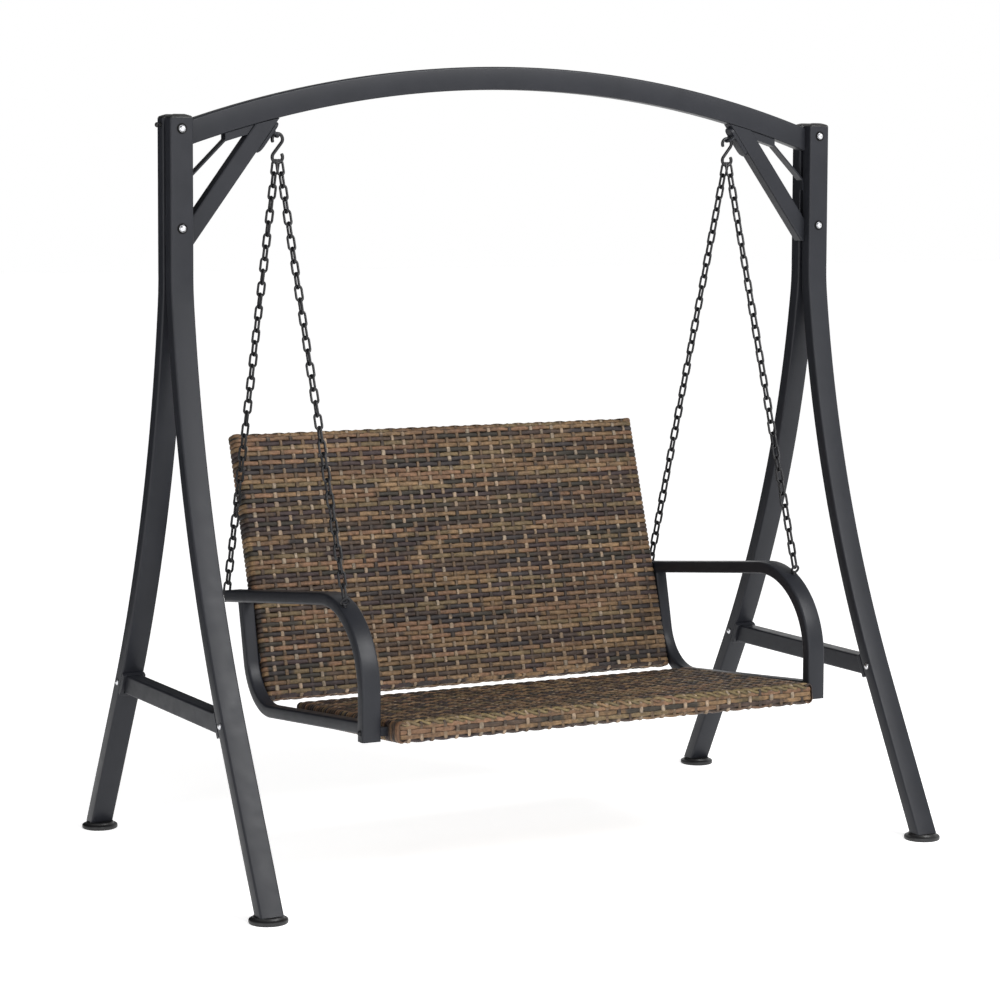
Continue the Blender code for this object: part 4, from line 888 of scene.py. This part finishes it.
class Panel:
    """One woven panel: rows round it, edge rows along it, and stakes crossing them."""

    def __init__(self, label, size, matrix, seed, braided):
        self.label, self.size, self.matrix, self.braided = label, size, matrix, braided
        self.rng = random.Random(seed)
        self.base = size.z / 2 - ROW_HEIGHT - ROW_WAVE
        self.stake_pitch = (size.x - 2 * STAKE_MARGIN) / STAKE_COUNT
        self.first_stake = -self.stake_pitch * (STAKE_COUNT - 1) / 2
        self.face = size.y - 2 * PANEL_CORNER - 2 * ROW_FACE_MARGIN
        self.rows = int(self.face / ROW_PITCH)
        self.pitch = self.face / self.rows
        self.sets = {"low": StrandSet(), "high": StrandSet(), "edge": StrandSet(),
                     "stakes": StrandSet()}

    def run_start(self):
        return self.rng.uniform(*RUN_STARTS)

    def weave(self):
        self.weave_rows()
        self.weave_edges()
        self.wrap_corners()
        self.weave_stakes()
        for group, strands in self.sets.items():
            name = f"{self.label}_weave_{group}"
            strands.build(name, self.matrix, [f"{self.label}_weave"])

    def weave_rows(self):
        rng = self.rng
        straight = self.size.x / 2 - ROW_HEIGHT - PANEL_CORNER
        along = centred(straight, self.stake_pitch / 4, 0.001)
        fade = np.clip((straight - np.abs(along)) / ROW_FADE, 0, 1)
        bend, out = side_bend(straight, self.base, half_turn(13)[1:-1])
        families = row_families(rng, 2 * self.rows + 12)
        for i in range(self.rows):
            v = -self.face / 2 + self.pitch * (i + 0.5) + rng.uniform(-ROW_JITTER, ROW_JITTER)
            over = wave(along - self.first_stake, self.stake_pitch, i)
            path, flat = round_panel(along, self.base + ROW_WAVE * over * fade, bend, out)
            lengths = run_lengths(path)
            centres = np.insert(path, 1, v, axis=1)
            centres[:, 1] += wander(rng, lengths, *ROW_DRIFT)
            tones = plain_tones(rng, lengths, families[i], ROW_SWITCH)
            width = ROW_WIDTH * (1 + wander(rng, lengths, *ROW_SWELL))
            self.sets["low" if i < self.rows / 2 else "high"].add(
                centres, V_AXIS, np.insert(flat, 1, 0.0, axis=1), width, ROW_HEIGHT, tones,
                self.run_start(), True, wander(rng, lengths, *ROW_ROLL))

    def edge_stations(self):
        """Place, height and outward angle of each row that covers one long edge."""
        reach = self.size.y / 2 - ROW_HEIGHT - ROW_WAVE - PANEL_CORNER
        side = self.base - PANEL_CORNER
        total = PANEL_CORNER * math.pi + 2 * side
        for k in range(EDGE_ROWS):
            q = total * (k + 0.5) / EDGE_ROWS - total / 2
            if abs(q) <= side:
                yield reach + PANEL_CORNER, -q, 0.0
            else:
                angle = (abs(q) - side) / PANEL_CORNER * (-1 if q > 0 else 1)
                yield (reach + PANEL_CORNER * math.cos(angle),
                       side * (1 if angle > 0 else -1) + PANEL_CORNER * math.sin(angle), angle)

    def weave_edges(self):
        """Rows along the two long edges, their ends tucked behind the side wraps."""
        rng = self.rng
        half = self.size.x / 2 - EDGE_INSET
        u = centred(half, self.stake_pitch / 4)
        tuck = np.clip((np.abs(u) - (half - TUCK_LENGTH)) / TUCK_LENGTH, 0, 1)
        for end in ENDS.values():
            for k, (v, w, angle) in enumerate(self.edge_stations()):
                if self.braided and end < 0 and k == 0:
                    continue
                parity = self.rows + k + (0 if end > 0 else 1)
                over = wave(u - self.first_stake, self.stake_pitch, parity)
                lift = ROW_WAVE * over * (1 - tuck) - TUCK_DEPTH * tuck ** 2
                out = np.array([0.0, end * math.cos(angle), math.sin(angle)])
                across = np.array([0.0, -end * math.sin(angle), math.cos(angle)])
                centres = np.stack([u, np.full(len(u), end * v), np.full(len(u), w)], axis=1)
                tan = rng.random() < EDGE_TAN_SHARES[k]
                tones = plain_tones(rng, u, tan, EDGE_SWITCH)
                self.sets["edge"].add(centres + lift[:, None] * out, across, out, ROW_WIDTH,
                                      ROW_HEIGHT, tones, self.run_start())

    def wrap_corners(self):
        """Short strands round the panel's four corners, over the ends of the edge rows."""
        arm = self.size.x / 2 - ROW_HEIGHT - PANEL_CORNER
        bend, out = side_bend(arm, self.base, half_turn(15))
        start = (arm - WRAP_END, self.base - WRAP_END_DROP)
        path = np.concatenate([[start], bend, [(start[0], -start[1])]])
        out = np.concatenate([[(0, 1)], out, [(0, -1)]])
        for end in ENDS.values():
            for way in SIDES.values():
                for inset, lean in zip(WRAP_INSETS, WRAP_LEANS):
                    v = end * (self.size.y / 2 - inset)
                    centres = np.insert(path * (way, 1), 1, v, axis=1)
                    normals = np.insert(out * (way, 1), 1, 0.0, axis=1)
                    tones = plain_tones(self.rng, run_lengths(path), True, WRAP_SWITCH)
                    self.sets["edge"].add(centres, V_AXIS, normals, WRAP_WIDTH, ROW_HEIGHT, tones,
                                          self.run_start(), roll=-end * lean)

    def weave_stakes(self):
        """Crossing strands that pass over and under the rows, right round the panel."""
        rng = self.rng
        base = self.size.z / 2 - STAKE_HEIGHT - STAKE_WAVE
        straight = self.size.y / 2 - STAKE_HEIGHT - STAKE_WAVE - PANEL_CORNER
        v = centred(straight, self.pitch / 3)
        row = (v + self.face / 2) / self.pitch - 0.5
        inside = np.clip((straight - np.abs(v)) / STAKE_FADE, 0, 1)
        turn = half_turn(15)[1:-1]
        for c in range(STAKE_COUNT):
            u = (self.first_stake + self.stake_pitch * c
                 + rng.uniform(-STAKE_JITTER, STAKE_JITTER))
            over = -np.cos(math.pi * (row + c))
            swing = np.cos(turn * EDGE_ROWS + c * math.pi) * STAKE_WAVE
            path, flat = round_panel(v, base + STAKE_WAVE * over * inside,
                                     *side_bend(straight, base, turn, swing))
            lengths = run_lengths(path)
            centres = np.insert(path, 0, u, axis=1)
            centres[:, 0] += wander(rng, lengths, *STAKE_DRIFT)
            tones = strand_tones(rng, lengths, STAKES_BROWN, STAKES_LIGHT,
                                 STAKE_LIGHT_SHARES[c % 2], SHORT_PATCH)
            width = STAKE_WIDTHS[c % 2] * (1 + wander(rng, lengths, *STAKE_SWELL))
            self.sets["stakes"].add(centres, U_AXIS, np.insert(flat, 0, 0.0, axis=1), width,
                                    STAKE_HEIGHT, tones, self.run_start(), True,
                                    wander(rng, lengths, *STAKE_ROLL))


def make_braid(matrix):
    """Two-strand twisted border along the seat's upper front edge."""
    rng = random.Random(5)
    strands = StrandSet()
    half = SEAT_SIZE.x / 2 - BRAID_END
    u = np.arange(-half, half, BRAID_STEP)
    out = np.array([0.0, math.cos(BRAID_LEAN), math.sin(BRAID_LEAN)])
    side = np.array([0.0, -math.sin(BRAID_LEAN), math.cos(BRAID_LEAN)])
    origin = np.array([0.0, BRAID_INSET - SEAT_SIZE.y / 2, SEAT_SIZE.z / 2 - BRAID_INSET])
    for k in range(2):
        angle = (2 * math.pi * u / BRAID_TWIST + math.pi * k)[:, None]
        centres = (origin + u[:, None] * U_AXIS + BRAID_SIDE_SWAY * np.sin(angle) * side
                   + BRAID_OUT_SWAY * np.cos(angle) * out)
        tangent = np.gradient(centres, axis=0)
        tangent /= np.linalg.norm(tangent, axis=1, keepdims=True)
        across = np.cross(out[None, :], tangent)
        across /= np.linalg.norm(across, axis=1, keepdims=True)
        tones = strand_tones(rng, u, BRAID_TANS, TANS, BRAID_SWITCH)
        strands.add(centres, across, np.cross(tangent, across), BRAID_WIDTH, BRAID_HEIGHT, tones,
                    k * 3.0)
    strands.build("seat_weave_braid", matrix, ["seat_weave"])


def panel_matrix(centre, pitch):
    return Matrix.Translation(centre) @ Matrix.Rotation(pitch, 4, "X")


# ---------------- stage
WHITE, NEAR_BLACK = (1.0, 1.0, 1.0), (0.01, 0.01, 0.01)
FLOOR_REACH, FLOOR_WHITE, FLOOR_GLOW = 40.0, (0.93, 0.93, 0.93), 0.62
CARD_MIDDLE, CARD_HALF = Vector((-1.42, 2.64, 0)), Vector((0.881, 0.474, 0)) * 3.2
CARD_HEIGHT = Vector((0, 0, 3.4))
HORIZON_STRENGTH, ZENITH_STRENGTH = 1.0, 0.22
LIGHTS = (("key", (1.7, -3.6, 4.2), 0.8, (3.0, 2.2), 230),
          ("edge", (-1.1, -5.4, 1.5), 1.0, (0.5, 2.8), 45),
          ("rim", (-4.3, -2.35, 1.3), 1.1, (0.35, 2.6), 24))
CAMERA_PLACE = (-3.470, -6.398, 1.669)
CAMERA_HEADING, CAMERA_DIP, CAMERA_ROLL = -28.27, 4.43, 0.24
CAMERA_LENS, CAMERA_SENSOR, CAMERA_SHIFT = 104.43, 36.0, -0.10


def area_light(name, place, target_z, size, power):
    data = bpy.data.lights.new(name, "AREA")
    data.shape = "RECTANGLE"
    data.size, data.size_y = size
    data.energy = power
    lamp = linked(name, data)
    lamp.location = place
    lamp.visible_camera = False
    aim = Vector((0, 0, target_z)) - Vector(place)
    lamp.rotation_euler = aim.to_track_quat("-Z", "Y").to_euler()


def stage_plane(name, corners, color, roughness, specular):
    material, _, shader = shader_material(name, color, roughness)
    shader.inputs["Specular IOR Level"].default_value = specular
    mesh = bpy.data.meshes.new(name)
    mesh.from_pydata(corners, [], [(0, 1, 2, 3)])
    mesh.materials.append(material)
    plane = linked(name, mesh)
    return plane, shader


def make_world():
    """White studio that falls off to a darker ceiling."""
    world = bpy.data.worlds.new("studio")
    world.use_nodes = True
    tree = world.node_tree
    direction = tree.nodes.new("ShaderNodeTexCoord").outputs["Generated"]
    strength = ranged(tree, z_part(tree, direction), HORIZON_STRENGTH, ZENITH_STRENGTH, 0.25, 0.75)
    sky = tree.nodes["Background"]
    sky.inputs["Color"].default_value = (*WHITE, 1.0)
    tree.links.new(strength, sky.inputs["Strength"])
    bpy.context.scene.world = world


def make_floor():
    reach = FLOOR_REACH
    corners = [(-reach, -reach, 0), (reach, -reach, 0), (reach, reach, 0), (-reach, reach, 0)]
    _, shader = stage_plane("studio_floor", corners, FLOOR_WHITE, 0.8, 0.1)
    shader.inputs["Emission Color"].default_value = (*WHITE, 1.0)
    shader.inputs["Emission Strength"].default_value = FLOOR_GLOW


def make_card():
    """Large dark card behind the left end; only glossy surfaces see it."""
    foot = (CARD_MIDDLE - CARD_HALF, CARD_MIDDLE + CARD_HALF)
    corners = [*foot, foot[1] + CARD_HEIGHT, foot[0] + CARD_HEIGHT]
    card, _ = stage_plane("studio_card", corners, NEAR_BLACK, 0.9, 0.0)
    card.visible_camera = False
    card.visible_diffuse = False
    card.visible_shadow = False
    card.visible_transmission = False


def make_stage():
    make_floor()
    make_world()
    make_card()
    for light in LIGHTS:
        area_light(*light)
    bpy.context.scene.view_settings.view_transform = "Standard"


def make_camera():
    data = bpy.data.cameras.new("camera")
    data.sensor_width = CAMERA_SENSOR
    data.lens = CAMERA_LENS
    data.shift_y = CAMERA_SHIFT
    data.clip_end = 100.0
    camera = linked("camera", data)
    camera.location = CAMERA_PLACE
    view = (Matrix.Rotation(math.radians(CAMERA_HEADING), 4, "Z")
            @ Matrix.Rotation(math.radians(90.0 - CAMERA_DIP), 4, "X")
            @ Matrix.Rotation(math.radians(CAMERA_ROLL), 4, "Z"))
    camera.rotation_euler = view.to_euler()
    bpy.context.scene.camera = camera


make_legs()
make_arch()
make_feet()
make_caps()
make_side_knob()
make_post_fasteners()
make_crossbar_bolts()
make_eye_plates()
make_hooks()
make_eye_bolts()
make_chains()
make_arms()
Panel("seat", SEAT_SIZE, panel_matrix(SEAT_CENTRE, SEAT_PITCH), 3, True).weave()
Panel("back", BACK_SIZE, panel_matrix(BACK_CENTRE, BACK_PITCH), 8, False).weave()
make_braid(panel_matrix(SEAT_CENTRE, SEAT_PITCH))
make_stage()
make_camera()
